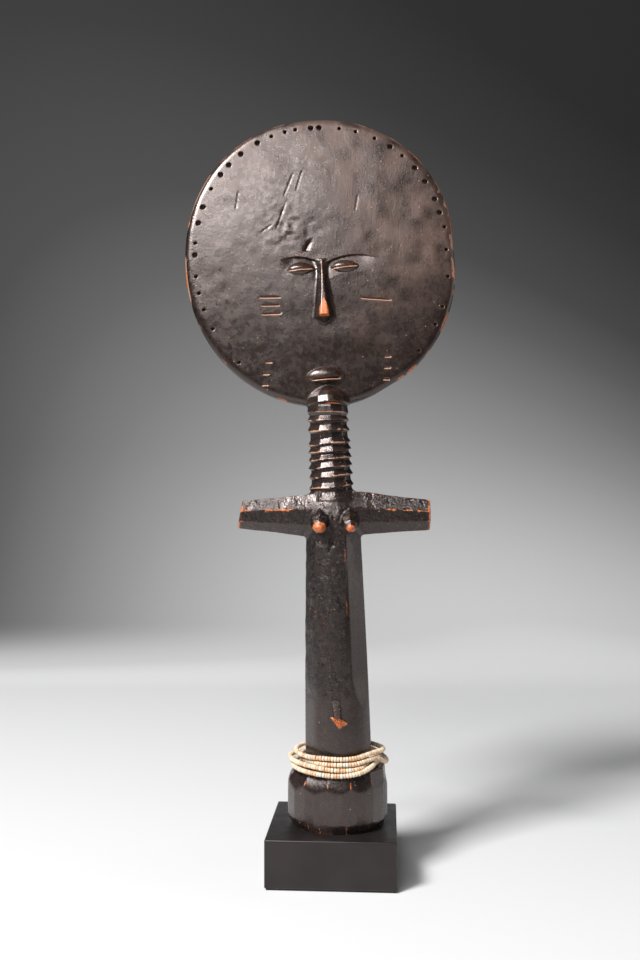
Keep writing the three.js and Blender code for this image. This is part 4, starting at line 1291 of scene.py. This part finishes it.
def make_stage():
    """Floor and back wall in one sheet, joined by a wide curve."""
    front, wall_top, half_width = -2.5, 3.2, 3.5
    profile = [(front, 0), (BEND_START, 0)]
    for degrees in range(6, 91, 6):
        angle = math.radians(degrees)
        profile.append((BEND_START + BEND_RADIUS * math.sin(angle), BEND_RADIUS * (1 - math.cos(angle))))
    profile.append((BEND_START + BEND_RADIUS, wall_top))
    points = [(x, y, z) for y, z in profile for x in (-half_width, half_width)]
    faces = [(2 * i, 2 * i + 1, 2 * i + 3, 2 * i + 2) for i in range(len(profile) - 1)]
    mesh = mesh_from_arrays("sweep", points, np.array(faces))
    mesh.polygons.foreach_set("use_smooth", np.ones(len(mesh.polygons), bool))
    stage = add_object("pale_sweep", mesh)
    stage.data.materials.append(stage_material())


# Light and camera

def aim(thing, target):
    thing.rotation_euler = (Vector(target) - thing.location).to_track_quat("-Z", "Y").to_euler()


def add_light(name, turn, height, distance, size, power, target=(0, 0, 0.25), tint=(1, 1, 1)):
    """Soft box at a turn from the front towards +X and a height angle, both in degrees."""
    light = bpy.data.lights.new(name, "AREA")
    light.shape = "RECTANGLE"
    light.size, light.size_y = size
    light.energy = power
    light.color = tint
    lamp = bpy.data.objects.new(name, light)
    flat = math.cos(math.radians(height)) * distance
    angle = math.radians(turn)
    rise = math.sin(math.radians(height)) * distance
    offset = Vector((flat * math.sin(angle), -flat * math.cos(angle), rise))
    lamp.location = Vector(target) + offset
    bpy.context.scene.collection.objects.link(lamp)
    aim(lamp, target)


def make_lights():
    add_light("key", -46, 45, 1.9, (0.48, 0.48), 51)
    add_light("top", -28.6, 37.3, 1.3, (1.1, 0.34), 12)
    add_light("right", 96, 8, 1.5, (1.2, 0.9), 3)
    world = bpy.data.worlds.new("studio")
    world.use_nodes = True
    world.node_tree.nodes["Background"].inputs["Color"].default_value = colour(0.9, 0.95, 1.0)
    world.node_tree.nodes["Background"].inputs["Strength"].default_value = 0.06
    bpy.context.scene.world = world


def make_camera():
    camera = bpy.data.cameras.new("camera")
    camera.sensor_fit = "VERTICAL"
    camera.sensor_height = 36
    camera.lens = 36 * FOCAL_PIXELS / PHOTO_HEIGHT
    camera.shift_y = HORIZON_BELOW_MIDDLE / PHOTO_HEIGHT
    camera.clip_start = 0.01
    holder = bpy.data.objects.new("camera", camera)
    holder.location = [value * MM for value in CAMERA_PLACE]
    holder.rotation_euler = (math.pi / 2, 0, 0)
    bpy.context.scene.collection.objects.link(holder)
    bpy.context.scene.camera = holder


def dress(piece, material, slot, *nodes):
    piece.data.materials.append(material)
    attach(piece, "root")
    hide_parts(*nodes)


bpy.context.scene.view_settings.view_transform = "Standard"
make_camera()
make_stage()
make_lights()
dress(make_doll(), wood_material(), "wood", "figure")
dress(make_block(), block_material(), "block", "plinth")
beads = bead_material()
for number, knots in enumerate(STRANDS, 1):
    dress(make_strand(knots, number), beads, "beads", f"bead_strand_{number}")

bpy.context.view_layer.update()
